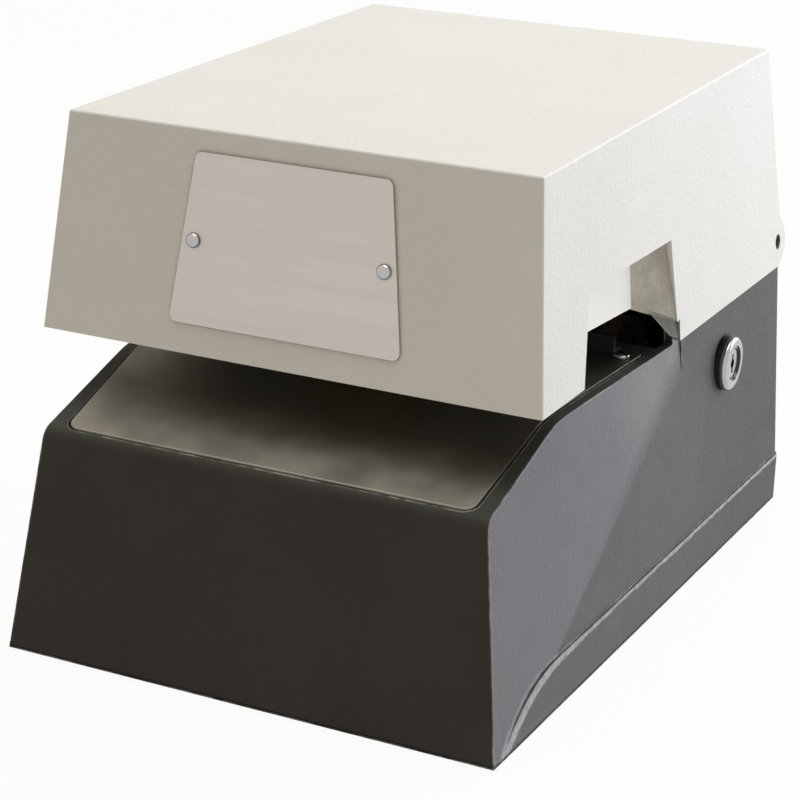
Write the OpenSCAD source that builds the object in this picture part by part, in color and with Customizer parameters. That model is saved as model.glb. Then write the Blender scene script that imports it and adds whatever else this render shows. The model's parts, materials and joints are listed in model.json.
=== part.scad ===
// Desktop electric embossing press: dark cast base, hinged pale cover,
// open paper throat between them, motor-driven press arm inside.
// Millimetres. X to the right, Y to the back, Z up. Modules are drawn in machine
// coordinates (Y from the front foot of the base, Z from its underside) and placed
// by machine(), which puts the middle of the feet on the origin.

/* [Base housing] */
// Width across the skirt
base_w = 170; // [168:1:176]
// Length from front to back
base_l = 258; // [255:1:272]
// Wall thickness of the casting
base_wall = 3; // [2.5:0.1:3.4]
// How far the front face leans back at its top edge
front_lean = 8.5; // [4:0.5:12]
// Height of the top edge of the front face
front_h = 73; // [66:1:76]
// Distance from the front to the end of the sloped throat
shoulder_y = 57.5; // [50:0.5:60]
// Height of the flat deck
deck_z = 88.5; // [86:0.5:92]
// Distance from the front to the back edge of the deck
deck_end_y = 141; // [139:1:144]
// Height of the raised rear side walls
wall_top_z = 100; // [97:0.5:101]
// Height of the shelf behind the cover
shelf_z = 91; // [88:0.5:93]
// Depth of the shelf behind the cover
shelf_l = 9; // [7:0.5:10]
// Height of the skirt
skirt_h = 17.5; // [14:0.5:22]
// Distance from the front to where the skirt has its full height
skirt_start_y = 46; // [40:1:55]
// How far the side walls stand in from the skirt
skirt_step = 0.7; // [0.5:0.1:1.2]
// Radius of the curve at the front end of the skirt
skirt_curve_r = 57; // [50:1:70]
// Inward lean of the side walls, in degrees
side_lean = 3.85; // [3.3:0.05:4.3]
// Inward lean of the finger flares, in degrees
flare_lean = 7.25; // [6.8:0.05:7.6]
// Forward turn of the finger flares, in degrees
flare_yaw = 1.9; // [1.5:0.1:2.3]
// How far the top of the front face stands in from the skirt
flare_in = 9; // [8.5:0.1:9.5]
// Length of the flares
flare_l = 154; // [140:1:160]

/* [Cover] */
// Wall thickness of the cover
cover_wall = 2.5; // [2:0.1:2.8]
// How far the cover's lower front corner stands out beyond the skirt
cover_over = 0.3; // [-0.2:0.1:1.5]
// Distance from the front of the base to the cover
cover_y = 22.6; // [16:0.5:26]
// Height of the paper gap under the front of the cover
throat_gap = 12.7; // [11:0.1:15]
// Backward lean of the cover's front face, in degrees
cover_front_lean = 5.7; // [3:0.1:8]
// Inward lean of the cover's sides, in degrees
cover_side_lean = 5.1; // [4:0.1:5.6]
// Narrowing of the cover towards the back, in degrees
cover_side_yaw = 0.43; // [0:0.05:0.6]
// Height of the cover's top at the front
cover_top_z = 170.2; // [166:0.5:178]
// Rise of the top from front to back
cover_top_rise = 3.2; // [0:0.1:5]
// Distance from the hinge to the cover's top rear edge
cover_rear_lean = 8; // [4:0.5:12]
// Drop of the cover's rear side skirts below its front edge
cover_skirt_drop = 7.2; // [6:0.1:8]
// Radius of the hinge ears
ear_r = 8.2; // [7:0.1:9]
// Largest opening angle of the cover
cover_open_deg = 78; // [60:1:80]

/* [Side notch] */
// Front end of the notch at the cover's edge
notch_y = 54.6; // [45:0.5:60]
// Lean of the notch's front edge over its height
notch_lean = 6.3; // [3:0.1:8]
// Back end of the notch
notch_end_y = 137; // [130:0.5:139]
// Height of the notch above the cover's front edge
notch_h = 28.8; // [24:0.5:34]
// Depth of the finger pocket at its valley
pocket_depth = 9; // [5:0.5:10]
// Distance from the front to the valley of the pocket
pocket_y = 117; // [105:1:120]

/* [Nameplate] */
// Width of the plate at its top
plate_top_w = 65.8; // [55:0.1:72]
// Width of the plate at its bottom
plate_bottom_w = 79; // [68:0.5:84]
// Height of the plate
plate_h = 53; // [44:0.5:55]
// Height of the plate above the cover's lower edge
plate_v = 9.5; // [8:0.5:12]
// Thickness of the plate
plate_t = 0.8; // [0.5:0.1:1.2]
// Corner radius of the plate
plate_r = 2.5; // [2:0.5:6]
// Distance between the rivets
rivet_w = 64.4; // [56:0.2:65]
// Head radius of the rivets
rivet_r = 2.4; // [2:0.1:3]

/* [Hinge and lock] */
// Distance from the back of the base to the hinge axis
hinge_back = 18.5; // [17:0.5:20]
// Height of the hinge axis above the deck
hinge_up = 14.5; // [13:0.5:16]
// Radius of the hinge pins
hinge_pin_r = 2.6; // [2:0.1:3]
// Distance from the back of the base to the lock
lock_back = 61.6; // [58:0.5:66]
// Height of the lock's axis
lock_z = 69.3; // [66:0.5:72]
// Radius of the lock's head
lock_head_r = 9.5; // [9:0.1:10.5]
// How far the lock's head stands out
lock_head_h = 4; // [3:0.1:4.3]
// Radius of the lock's body
lock_body_r = 8; // [7:0.1:8.5]
// Radius of the turning plug
lock_plug_r = 5.5; // [5:0.1:6]
// Length of the locking tongue from its axis
tongue_l = 32; // [28:0.5:33]

/* [Press mechanism] */
// Distance from the front to the middle of the dies
die_y = 85; // [82:0.5:87]
// Radius of the dies
die_r = 20; // [16:0.5:21]
// Thickness of each die
die_t = 5.5; // [4:0.5:6]
// Reach of the press arm from its pivot to the dies
arm_reach = 65; // [63:0.5:67]
// Height of the arm's pivot above the deck
arm_up = 33.5; // [32:0.5:35]
// Stroke of the arm, in degrees
arm_stroke = 7.5; // [6:0.25:8]
// Distance between the faces of the two frame plates
frame_gap = 60; // [58:1:62]
// Thickness of the frame plates
frame_t = 5; // [4:0.5:5.5]
// Radius of the arm's pivot shaft
pivot_r = 6; // [5:0.5:7]
// Radius of the cam shaft
cam_shaft_r = 6; // [5:0.5:7]
// Smallest radius of the cam
cam_r = 14; // [12:0.5:15]
// Width of the cam
cam_w = 12; // [8:0.5:13]
// Turn of the cam that lifts the roller, in degrees
cam_rise_deg = 270; // [240:5:280]
// Radius of the arm's roller
roller_r = 9; // [8:0.5:10]

/* [Gear train] */
// Teeth of the two large gears
gear_teeth = 42; // [40:1:44]
// Teeth of the two pinions
pinion_teeth = 12; // [12:1:13]
// Module of the slow gear pair
slow_module = 1.5; // [1.4:0.05:1.55]
// Module of the fast gear pair
fast_module = 1.25; // [1.15:0.05:1.3]
// Width of the slow pair
slow_w = 8; // [6:0.5:8]
// Width of the fast pair
fast_w = 6; // [5:0.5:7]
// Side play of each tooth flank
tooth_play = 0.2; // [0.15:0.01:0.25]

/* [Motor] */
// Width across the stator stack
stator_w = 62; // [56:1:64]
// Length of the stator stack
stator_l = 24; // [20:1:28]
// Radius of the rotor
rotor_r = 16; // [14:0.5:18]
// Radius of the motor shaft
motor_shaft_r = 4; // [3:0.5:4.5]

/* [Feet and fasteners] */
// How far the rubber feet stand below the base
foot_proud = 2; // [2:0.1:4]
// Radius of the rubber feet
foot_r = 8; // [6:0.5:9]
// Thickness of the bottom plate
bottom_t = 3; // [2:0.5:3.5]
// Thread radius of the small screws
screw_r = 1.5; // [1.25:0.05:1.8]

/* [Hidden] */
$fn = 64;

far = 400;            // larger than the whole machine
run_gap = 0.05;       // radial play of a turning fit
seat_gap = 0.3;       // play between pieces that only come close
hub_gap = 0.3;        // side play of turning pieces
touch = 0.01;         // cut beyond a face

// Base
deck_under_z = deck_z - base_wall;
plate_rest_z = 2;                                 // underside of the bottom plate
floor_z = plate_rest_z + bottom_t;                // top of the bottom plate
shelf_y = base_l - shelf_l;
ridge_y = shelf_y - 4;
ridge_z = shelf_z + 4.5;                          // low ridge that closes the gap behind the cover
hinge_y = base_l - hinge_back;
hinge_z = deck_z + hinge_up;
side_x = base_w / 2 - skirt_step;                 // half width of the walls above the skirt
flare_x = base_w / 2 - flare_in;                  // half width at the top of the front face
raised_y = deck_end_y + 7;                        // front end of the raised walls
boss_r = 7.5;
boss_x = side_x - base_wall - boss_r;
boss_h = 24;
boss_hole_r = 2;
boss_cap = 6;         // solid end of a boss above its hole
boss_front_y = 24;
boss_back_y = base_l - 22;
lug_x = side_x - (hinge_z + ear_r - skirt_h) * tan(side_lean) - 0.6;   // outer face of the hinge lugs
lug_t = 4;
lug_room = 3;         // free space in the cover at the inner face of a lug
lug_foot = 4;         // how far a lug's foot reaches forwards past its eye
lug_drop = 16;        // foot of a lug below the top of the walls
ear_room = 0.5;       // play round the cover's ears
fit_gap = 0.1;        // play of parts pushed through their holes
rim_gap = 0.6;        // front edge of the open foot behind the wall
plate_play = 0.4;     // play of the bottom plate at the sides and the back
foot_in = 14;         // from a boss to the foot beside it
foot_x = boss_x - foot_in;
base_outline = [
    [0, 0], [base_l, 0], [base_l, shelf_z], [shelf_y, shelf_z], [shelf_y - 1.5, ridge_z],
    [ridge_y, ridge_z], [ridge_y - 3, wall_top_z], [raised_y + 2, wall_top_z], [raised_y, deck_z],
    [shoulder_y, deck_z], [front_lean, front_h]
];

// Rear panel with the electrical parts
panel_z = 44;
panel_h = 36;
panel_w = 124;
panel_depth = 5;
panel_rim = 3;        // pad round the recess, inside
panel_y = base_l - panel_depth;
panel_gap = 0.2;      // play of the parts in their cut-outs
inlet_x = -36;
inlet_w = 27.6;
inlet_h = 19.6;
inlet_deep = 16;
inlet_wall = 2.8;
inlet_flange = 3.2;   // how far the flange stands out on each side
inlet_flange_t = 2.4;
blade_w = 4;
blade_t = 2;
blade_l = 17;
blade_pitch = 7;
blade_back = 4;       // how far the blades stand out behind the inlet
rocker_x = 12;
switch_w = 12.6;
rocker_h = 18.6;
rocker_deep = 14;
rocker_rim = 2.2;
rocker_rim_t = 1.6;
rocker_wall = 1.3;
rocker_pin_r = 1.2;
rocker_r = 7.6;
rocker_back = 4.5;    // rocker's wedge behind its pivot
rocker_back_h = 6;
rocker_out = 2.9;     // its tips in front of the pivot
rocker_dip = 1.3;     // hollow between the tips
rocker_off = 6;       // tilt at rest, in degrees
fuse_x = 42;
fuse_r = 5.8;
fuse_deep = 22;
fuse_flange_r = 8;
fuse_flange_t = 2.4;
fuse_cap_l = 4;

// Cover
cover_x = base_w / 2 + cover_over;                // half width at the lower front corner
cover_z = deck_z + throat_gap;
cover_skirt_z = cover_z - cover_skirt_drop;
cover_rear_y = hinge_y - cover_rear_lean;
cover_top_y = cover_y + (cover_top_z - cover_z) * tan(cover_front_lean);
cover_outline = [
    [cover_y, cover_z], [notch_end_y, cover_z], [notch_end_y, cover_skirt_z],
    [hinge_y, cover_skirt_z], [hinge_y + 4, hinge_z], [cover_rear_y, cover_top_z + cover_top_rise],
    [cover_top_y, cover_top_z]
];
core_drop = 60;       // the hollow runs out below the cover
cover_core = [
    [cover_y - core_drop * tan(cover_front_lean), cover_z - core_drop],
    [hinge_y + 4, cover_z - core_drop], [hinge_y + 4, hinge_z],
    [cover_rear_y, cover_top_z + cover_top_rise], [cover_top_y, cover_top_z]
];
function cover_side_x(y, z) =                      // outer face of the cover's side
    cover_x - (z - cover_z) * tan(cover_side_lean) - (y - cover_y) * tan(cover_side_yaw);
pocket_t = 1.5;
notch_back_lean = 6.6; // lean of the notch's back edge over its height
pocket_rim = 2.4;     // flaps start inside the notch's ends
pocket_hang = 12;     // room for the flaps below the cover's edge
pocket_front_h = 16.8; // lower edge of the flaps above the cover's edge, at the front
pocket_valley_h = 8.2;

// Nameplate's rivets
rivet_v = plate_v + plate_h / 2 - 0.6;             // height up the cover's front
rivet_shank_r = 1.2;
rivet_h = 1.8;

// Throat
plate_up = 0.4;       // top of the throat plate above the deck
plate_sink = 0.8;     // its seat below the deck
throat_r = 4;         // its corner radius
plate_front_w = flare_x - 6;                      // half widths of the plate
plate_back_w = flare_x - 1.5;
plate_start_y = front_lean + 2.7;
plate_end_y = deck_end_y - 6;
slope = (deck_z - front_h) / (shoulder_y - front_lean);
function slope_z(y) = y < shoulder_y ? front_h + (y - front_lean) * slope : deck_z;
plate_screw_x = plate_back_w - 5;
plate_screw_y = plate_end_y - 10;
stop_y = plate_end_y - 8;
stop_h = 6;
stop_half_w = plate_back_w - 8.5;
stop_foot = 6.5;
stop_screw_x = stop_half_w - 5;
stop_screw_y = stop_y + 4.6;
stop_t = 1.5;

// Trigger in the throat
trigger_x = -48;
trigger_w = 5;
trigger_y = stop_y - 1;
trigger_z = deck_z - 12.5;
trigger_deg = 8;
trigger_hub_r = 4.5;
trigger_pin_r = 1.5;
trigger_top_z = deck_z + 5;
trigger_tip = 3.4;    // thickness of the trigger at its top
nose_h = 4;
button_drop = 7;      // button below the trigger's pivot
button_r = 1.2;
button_l = 1.4;
button_y = trigger_y - 6.6;                        // tip of the button
slot_w = trigger_w + 2;
slot_y = trigger_y - 9;                            // slot that the trigger swings in
slot_l = 13;
trigger_room = 2.2;   // how far behind the stop's face the trigger swings
bracket_t = 1.2;
bracket_x = trigger_w / 2 + 2;                     // inner faces of the bracket's cheeks
switch_t = 2 * bracket_x - 0.6;
switch_d = 10;
switch_drop = 14.6;   // underside of the switch below the trigger's pivot
switch_h = 20;
button_deep = 3;      // hole of the button in the switch
button_in = 1.6;      // button inside the switch
bracket_drop = 15;    // lower edge of the bracket's cheeks below the pivot
bracket_back = 5;     // cheeks behind the pivot
bracket_y = button_y - button_l - switch_d - 1;    // front edge of the cheeks

// Frame and press arm
frame_x = frame_gap / 2;
frame_out = frame_x + frame_t;
jaw_z = deck_under_z - 1.5;                        // top of the lower jaw
jaw_y = die_y - 21;
arm_y = die_y + arm_reach;
arm_z = deck_z + arm_up;
cam_dy = 55;
cam_dz = -40;
cam_y = arm_y + cam_dy;
cam_z = arm_z + cam_dz;
cam_gap = 0.3;
pitch_r = cam_r + roller_r + cam_gap;              // first distance from cam shaft to roller
tail_l = norm([cam_dy, cam_dz + pitch_r]);
tail_deg = atan2(cam_dz + pitch_r, cam_dy);
frame_back_y = cam_y + 25;
frame_top_z = arm_z + 18;
die_face_z = deck_z + plate_up + 0.6;              // face of the lower die
die_close = 0.5;                                   // gap left for the sheet
upper_face_z = die_face_z + die_close;
holder_t = 6;
head_z = upper_face_z + die_t + holder_t;
anvil_z = die_face_z - die_t;
anvil_h = 40;
cheek_x = cam_w / 2 + 1.5;
cheek_t = 5.5;
roller_pin_r = 3;
bar_w = 10;
bar_z = floor_z + bar_w / 2;
bars_y = [jaw_y + 8, frame_back_y - 12];
spring_x = 20;
spring_y = arm_y + 35;
spring_pin_up = -6;   // the arm's spring pin, from the arm's pivot
spring_rod_z = 30;
spring_rod_r = 2;
spring_coil_r = 4;
spring_wire_r = 0.8;
spring_turns = 14;
spring_eye_r = spring_rod_r + seat_gap + spring_wire_r;
// upper spring pin in its place at rest
spring_rest_y = arm_y + (spring_y - arm_y) * cos(arm_stroke) + spring_pin_up * sin(arm_stroke);
spring_rest_z = arm_z - (spring_y - arm_y) * sin(arm_stroke) + spring_pin_up * cos(arm_stroke);
bushing_r = 9;
base_screw_r = 1.95;
boss_screw_l = 12;    // thread of the screws past the bottom plate
bar_screw_l = 6;
bar_screw_x = frame_x - 10;
foot_sink = 0.4;      // head of a foot's screw above the base's underside
frame_bolt_r = 2.5;
bar_bolt_l = 6;       // thread of the frame's bolts past the frame plates
anvil_bolt_l = 10;
anvil_bolts_z = [anvil_z - 10, anvil_z - 30];
shaft_window_r = 13;  // hole for the motor's bearing hub in a frame plate
die_hole_r = die_r + 1.5;
die_flange = 1;       // flange of a die beyond its radius
die_flange_t = die_t - 2;
die_plug_r = die_r - 4;
holder_w = 32;
holder_block_t = holder_t - 2;
arm_w = 22;           // width of the arm's beam
arm_hub_r = pivot_r + 6;
arm_eye_r = 8;        // eye of the arm round the roller pin
head_w = 36;          // foot of the beam on the upper die's holder
head_l = 34;
head_h = 9;
arm_nose_h = 16;      // height of the beam at its front end
shaft_proud = 3;      // ends of the shafts outside the frame plates
cam_hub_r = 10;
cam_hub_l = 6;
gear_hub_r = 11;
gear_holes_at = 20;   // lightening holes: distance from the axis
gear_holes_r = 4.5;
idler_hub_r = 6;
idler_holes_at = 18;
idler_holes_r = 3.5;
stud_head_r = 6;
stud_head_t = 1.4;

// Gears
slow_dist = (gear_teeth + pinion_teeth) * slow_module / 2;
fast_dist = (gear_teeth + pinion_teeth) * fast_module / 2;
slow_dir = 212.9;     // from the cam shaft to the idler
fast_dir = 207.3;     // from the idler to the motor
idler_y = cam_y + slow_dist * cos(slow_dir);
idler_z = cam_z + slow_dist * sin(slow_dir);
motor_y = idler_y + fast_dist * cos(fast_dir);
motor_z = idler_z + fast_dist * sin(fast_dir);
slow_x = frame_out + 3;
fast_x = slow_x + slow_w + 1;
train_end_x = fast_x + fast_w;
idler_r = 4;
pressure = 20;
motor_air = 0.4;
motor_strap_in = 7;   // from the frame plate to the inner face of the bearing strap
motor_strap_t = 3;
motor_strap_w = 20;
motor_hub_r = 11;
motor_post_y = 6;
motor_post_z = stator_w / 2 - 5;
motor_post_r = 3;
coil_dy = rotor_r + 7; // from the shaft to the middle of a coil
coil_w = 7.4;
coil_h = 25.4;
coil_out = 7;         // how far the coils stand out of the stator at each end
motor_tail = 4;       // rear end of the motor's shaft outside the frame

// Lock
lock_y = base_l - lock_back;
lock_face_x = side_x - (lock_z - skirt_h) * tan(side_lean);   // outer face of the wall there
lock_in_x = side_x - 20.3;                          // inner end of the lock's body
lock_nut_r = lock_body_r + 4;
lock_nut_t = 3.5;
lock_nut_x = lock_face_x - base_wall / cos(side_lean) - lock_nut_r * tan(side_lean) - 0.1;
tongue_t = 3;
tongue_w = 12;
tongue_hub_r = 8;
key_deep = 4;         // key slot in the plug's face
key_w = 1.4;
key_h = 6.4;
key_r = 1.5;
plug_in = 0.8;        // plug's face below the rim of the lock's head
head_edge = 1.6;      // bevel of the lock's head
strike_y = lock_y - tongue_l;
strike_w = 18;
strike_t = 2;
strike_x = side_x - 10.3;                            // outer face of the hanging leg
strike_z = lock_z - tongue_w / 2 - 0.6;            // top of the hook
ledge_z = wall_top_z + 6;
bracket_leg = 15;     // height of the leg on the cover's wall
// inner face of the cover's wall at the back edge of the bracket
function bracket_wall_x(z) = cover_side_x(strike_y + strike_w, z) - cover_wall / cos(cover_side_lean) - 0.03;
hook_in = 4;          // reach of the strike's hook past the lock's inner end
bumper_y = strike_y + strike_w / 2;
bumper_w = 10;
bumper_t = 1;         // rubber on each side of the wall
bumper_grip = 4;      // how far it reaches down over the wall

// ---- Outline helpers ----

function left_normal(a, b) = [a[1] - b[1], b[0] - a[0]] / norm(b - a);

// Corner of an anticlockwise outline moved inwards by d
function inset_corner(a, p, b, d) =
    let (n1 = left_normal(a, p), n2 = left_normal(p, b)) p + (n1 + n2) * d / (1 + n1 * n2);

function neighbour(pts, i, step) = pts[(i + step + len(pts)) % len(pts)];

function inset_outline(pts, d) =
    [for (i = [0 : len(pts) - 1]) inset_corner(neighbour(pts, i, -1), pts[i], neighbour(pts, i, 1), d)];

// Anticlockwise outline with every corner rounded to radius r
function round_outline(pts, r, steps = 6) = [
    for (i = [0 : len(pts) - 1])
        let (
            a = neighbour(pts, i, -1),
            b = neighbour(pts, i, 1),
            c = inset_corner(a, pts[i], b, r),
            n1 = left_normal(a, pts[i]),
            n2 = left_normal(pts[i], b),
            start = atan2(-n1[1], -n1[0]),
            turn = (atan2(-n2[1], -n2[0]) - start + 360) % 360
        )
        for (k = [0 : steps]) c + r * [cos(start + turn * k / steps), sin(start + turn * k / steps)]
];

function rect(w, h) = [[-w / 2, -h / 2], [w / 2, -h / 2], [w / 2, h / 2], [-w / 2, h / 2]];

// ---- Placing helpers ----

module machine() {
    translate([0, -base_l / 2, foot_proud]) children();
}

// Profile in Y and Z, extruded from x0 to x1
module along_x(x0, x1) {
    translate([x0, 0, 0]) rotate([90, 0, 90]) linear_extrude(x1 - x0) children();
}

// Profile in X and Z, extruded from y0 to y1
module along_y(y0, y1) {
    translate([0, y1, 0]) rotate([90, 0, 0]) linear_extrude(y1 - y0) children();
}

module rod_x(x0, x1, y, z, r) {
    translate([x0, y, z]) rotate([0, 90, 0]) cylinder(h = x1 - x0, r = r);
}

module rod_y(x, y0, y1, z, r) {
    translate([x, y0, z]) rotate([-90, 0, 0]) cylinder(h = y1 - y0, r = r);
}

module rod_z(x, y, z0, z1, r) {
    translate([x, y, z0]) cylinder(h = z1 - z0, r = r);
}

module both_sides() {
    children();
    mirror([1, 0, 0]) children();
}

// Block across the rear panel, from y0 to y1
module panel_block(x, y0, y1, w, h) {
    translate([x - w / 2, y0, panel_z - h / 2]) cube([w, y1 - y0, h]);
}

// Cut-out of the rear panel for a part of the given size
module panel_hole(x, w, h) {
    panel_block(x, panel_y - base_wall - 1, panel_y + 1, w + 2 * panel_gap, h + 2 * panel_gap);
}

// Everything outside a leaning side plane through the given point
module outside(x, y, z, lean, yaw, inset = 0) {
    both_sides()
        translate([x, y, z]) rotate([0, 0, yaw]) rotate([0, -lean, 0])
            translate([-inset, -far, -far]) cube([far, 2 * far, 2 * far]);
}

// Frame of the cover's right side: X outwards from its face, Z up along it
module on_cover_side() {
    translate([cover_x, cover_y, cover_z]) rotate([0, 0, cover_side_yaw])
        rotate([0, -cover_side_lean, 0]) children();
}

// Frame of the cover's front: drawing plane on the face, Z outwards
module on_cover_front() {
    translate([0, cover_y, cover_z]) rotate([90 - cover_front_lean, 0, 0]) children();
}

// Pan head screw pointing down -Z, with the underside of its head at the origin
module pan_screw(r, length) {
    rotate_extrude() polygon([
        [0, -length], [r, -length], [r, 0], [1.9 * r, 0], [1.9 * r, 0.7 * r], [1.3 * r, 1.2 * r],
        [0, 1.3 * r]
    ]);
}

module hex_bolt(r, length) {
    cylinder(h = 1.3 * r, r = 2 * r, $fn = 6);
    translate([0, 0, -length]) cylinder(h = length + touch, r = r);
}

// ---- Base ----

module base_sides(inset = 0) {
    outside(side_x, 0, skirt_h, side_lean, 0, inset);
    intersection() {
        outside(flare_x, front_lean, front_h, flare_lean, -flare_yaw, inset);
        translate([-far, -far, -far]) cube([2 * far, far + flare_l + inset, 2 * far]);
    }
}

module base_form() {
    difference() {
        along_x(-base_w / 2, base_w / 2) polygon(base_outline);
        base_sides();
    }
}

// Band round the foot of the base; it runs out in a curve towards the front corners
module skirt() {
    end_z = 2;
    end_deg = acos(1 - (skirt_h - end_z) / skirt_curve_r);
    along_x(-base_w / 2, base_w / 2) polygon(concat(
        [[0, 0], [base_l, 0], [base_l, skirt_h]],
        [for (a = [0 : end_deg / 8 : end_deg + touch])
            [skirt_start_y - skirt_curve_r * sin(a), skirt_h - skirt_curve_r * (1 - cos(a))]],
        [[0, end_z]]
    ));
}

module base_hollow() {
    difference() {
        union() {
            along_x(-base_w / 2, base_w / 2) polygon(inset_outline(base_outline, base_wall));
            translate([-base_w / 2, base_wall + rim_gap, -1])
                cube([base_w, base_l - 2 * base_wall - rim_gap, base_wall + 2]);
            translate([-base_w / 2, deck_end_y, deck_under_z - 1])
                cube([base_w, ridge_y - deck_end_y, far]);
        }
        base_sides(base_wall);
    }
}

module throat_seat(clear) {
    intersection() {
        along_x(-base_w, base_w) polygon([
            [plate_start_y - clear, slope_z(plate_start_y) - plate_sink - clear * slope],
            [shoulder_y, deck_z - plate_sink], [plate_end_y + clear, deck_z - plate_sink],
            [plate_end_y + clear, deck_z + plate_up], [shoulder_y, deck_z + plate_up],
            [plate_start_y - clear, slope_z(plate_start_y) + plate_up - clear * slope]
        ]);
        linear_extrude(far) polygon(round_outline([
            [-plate_front_w - clear, plate_start_y - clear],
            [plate_front_w + clear, plate_start_y - clear],
            [plate_back_w + clear, plate_end_y + clear],
            [-plate_back_w - clear, plate_end_y + clear]
        ], throat_r));
    }
}

module hinge_lug() {
    difference() {
        along_x(lug_x - lug_t, lug_x) union() {
            translate([hinge_y, hinge_z]) circle(r = ear_r - 1);
            polygon([
                [hinge_y - ear_r - lug_foot, wall_top_z - lug_drop], [hinge_y + ear_r, wall_top_z - lug_drop],
                [hinge_y + ear_r - 1, hinge_z], [hinge_y - ear_r + 1, hinge_z]
            ]);
        }
        rod_x(0, base_w, hinge_y, hinge_z, hinge_pin_r);
    }
}

module base_housing() {
    color([0.2, 0.19, 0.185]) machine() difference() {
        union() {
            difference() {
                union() {
                    base_form();
                    skirt();
                }
                base_hollow();
            }
            // inner pad behind the recessed rear panel
            panel_block(0, panel_y - base_wall, base_l - 1, panel_w + 2 * panel_rim, panel_h + 2 * panel_rim);
            both_sides() {
                hinge_lug();
                for (y = [boss_front_y, boss_back_y]) rod_z(boss_x, y, floor_z, floor_z + boss_h, boss_r);
            }
        }
        throat_seat(seat_gap);
        rod_z(0, die_y, anvil_z - 1, far, die_hole_r);
        translate([trigger_x - slot_w / 2, slot_y, deck_under_z - 1]) cube([slot_w, slot_l, base_wall + 3]);
        both_sides() {
            rod_z(plate_screw_x, plate_screw_y, deck_under_z - 1, deck_z + 1, screw_r);
            rod_z(stop_screw_x, stop_screw_y, deck_under_z - 1, deck_z + 1, screw_r);
            for (y = [boss_front_y, boss_back_y])
                rod_z(boss_x, y, floor_z - 1, floor_z + boss_h - boss_cap, boss_hole_r);
        }
        // recess and cut-outs of the rear panel
        panel_block(0, panel_y, base_l + 1, panel_w, panel_h);
        panel_hole(inlet_x, inlet_w, inlet_h);
        panel_hole(rocker_x, switch_w, rocker_h);
        rod_y(fuse_x, panel_y - base_wall - 1, panel_y + 1, panel_z, fuse_r + panel_gap);
        rod_x(lock_in_x, base_w, lock_y, lock_z, lock_body_r + fit_gap);
        rod_x(lock_face_x, base_w, lock_y, lock_z, lock_head_r + seat_gap);
        // room for the cover's ears
        both_sides() rod_x(lug_x, base_w, hinge_y, hinge_z, ear_r + ear_room);
    }
}

module bottom_plate() {
    side = side_x - base_wall - plate_play;
    start_y = base_wall + 3 * plate_play;
    length = base_l - base_wall - plate_play - start_y;
    color([0.55, 0.56, 0.57]) machine() difference() {
        translate([-side, start_y, plate_rest_z]) cube([2 * side, length, bottom_t]);
        both_sides() {
            for (y = [boss_front_y, boss_back_y]) {
                rod_z(boss_x, y, 0, floor_z + 1, base_screw_r + 0.25);
                rod_z(foot_x, y, 0, floor_z + 1, screw_r);
            }
            for (y = bars_y) rod_z(bar_screw_x, y, 0, floor_z + 1, base_screw_r + 0.25);
        }
    }
}

module bottom_plate_screws() {
    color([0.7, 0.7, 0.72]) machine() both_sides() {
        for (y = [boss_front_y, boss_back_y])
            translate([boss_x, y, plate_rest_z]) mirror([0, 0, 1])
                pan_screw(base_screw_r, bottom_t + boss_screw_l);
        for (y = bars_y)
            translate([bar_screw_x, y, plate_rest_z]) mirror([0, 0, 1])
                pan_screw(base_screw_r, bottom_t + bar_screw_l);
    }
}

module rubber_feet() {
    color([0.08, 0.08, 0.08]) machine() both_sides() for (y = [boss_front_y, boss_back_y])
        translate([foot_x, y, -foot_proud]) difference() {
            rotate_extrude() polygon([
                [0, 0], [foot_r - 1, 0], [foot_r, 1], [foot_r - 0.6, plate_rest_z + foot_proud],
                [0, plate_rest_z + foot_proud]
            ]);
            translate([0, 0, -1]) cylinder(h = foot_proud + foot_sink + 1, r = 2 * screw_r + 0.4);
            cylinder(h = far, r = screw_r + fit_gap);
        }
}

module foot_screws() {
    color([0.7, 0.7, 0.72]) machine() both_sides() for (y = [boss_front_y, boss_back_y])
        translate([foot_x, y, foot_sink]) mirror([0, 0, 1])
            pan_screw(screw_r - 0.05, plate_rest_z - foot_sink + bottom_t + 2);
}

module throat_plate() {
    color([0.62, 0.6, 0.58]) machine() difference() {
        throat_seat(0);
        rod_z(0, die_y, 0, far, die_hole_r);
        translate([trigger_x - slot_w / 2, slot_y, deck_under_z]) cube([slot_w, far, base_wall + 3]);
        both_sides() {
            rod_z(plate_screw_x, plate_screw_y, 0, far, screw_r + fit_gap);
            rod_z(stop_screw_x, stop_screw_y, 0, far, screw_r + fit_gap);
        }
    }
}

module throat_plate_screws() {
    color([0.85, 0.85, 0.86]) machine() both_sides()
        translate([plate_screw_x, plate_screw_y, deck_z + plate_up])
            pan_screw(screw_r - 0.05, base_wall + 3);
}

module paper_stop() {
    top = deck_z + plate_up;
    color([0.12, 0.12, 0.13]) machine() difference() {
        union() {
            translate([-stop_half_w, stop_y, top]) cube([2 * stop_half_w, stop_t, stop_h]);
            translate([-stop_half_w, stop_y, top]) cube([2 * stop_half_w, stop_foot, stop_t]);
        }
        translate([trigger_x - slot_w / 2, stop_y - 1, top - 1]) cube([slot_w, trigger_room + 1, far]);
        both_sides() rod_z(stop_screw_x, stop_screw_y, 0, far, screw_r + fit_gap);
    }
}

module paper_stop_screws() {
    color([0.8, 0.8, 0.82]) machine() both_sides()
        translate([stop_screw_x, stop_screw_y, deck_z + plate_up + stop_t])
            pan_screw(screw_r - 0.05, base_wall + 4);
}

// ---- Frame ----

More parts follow.
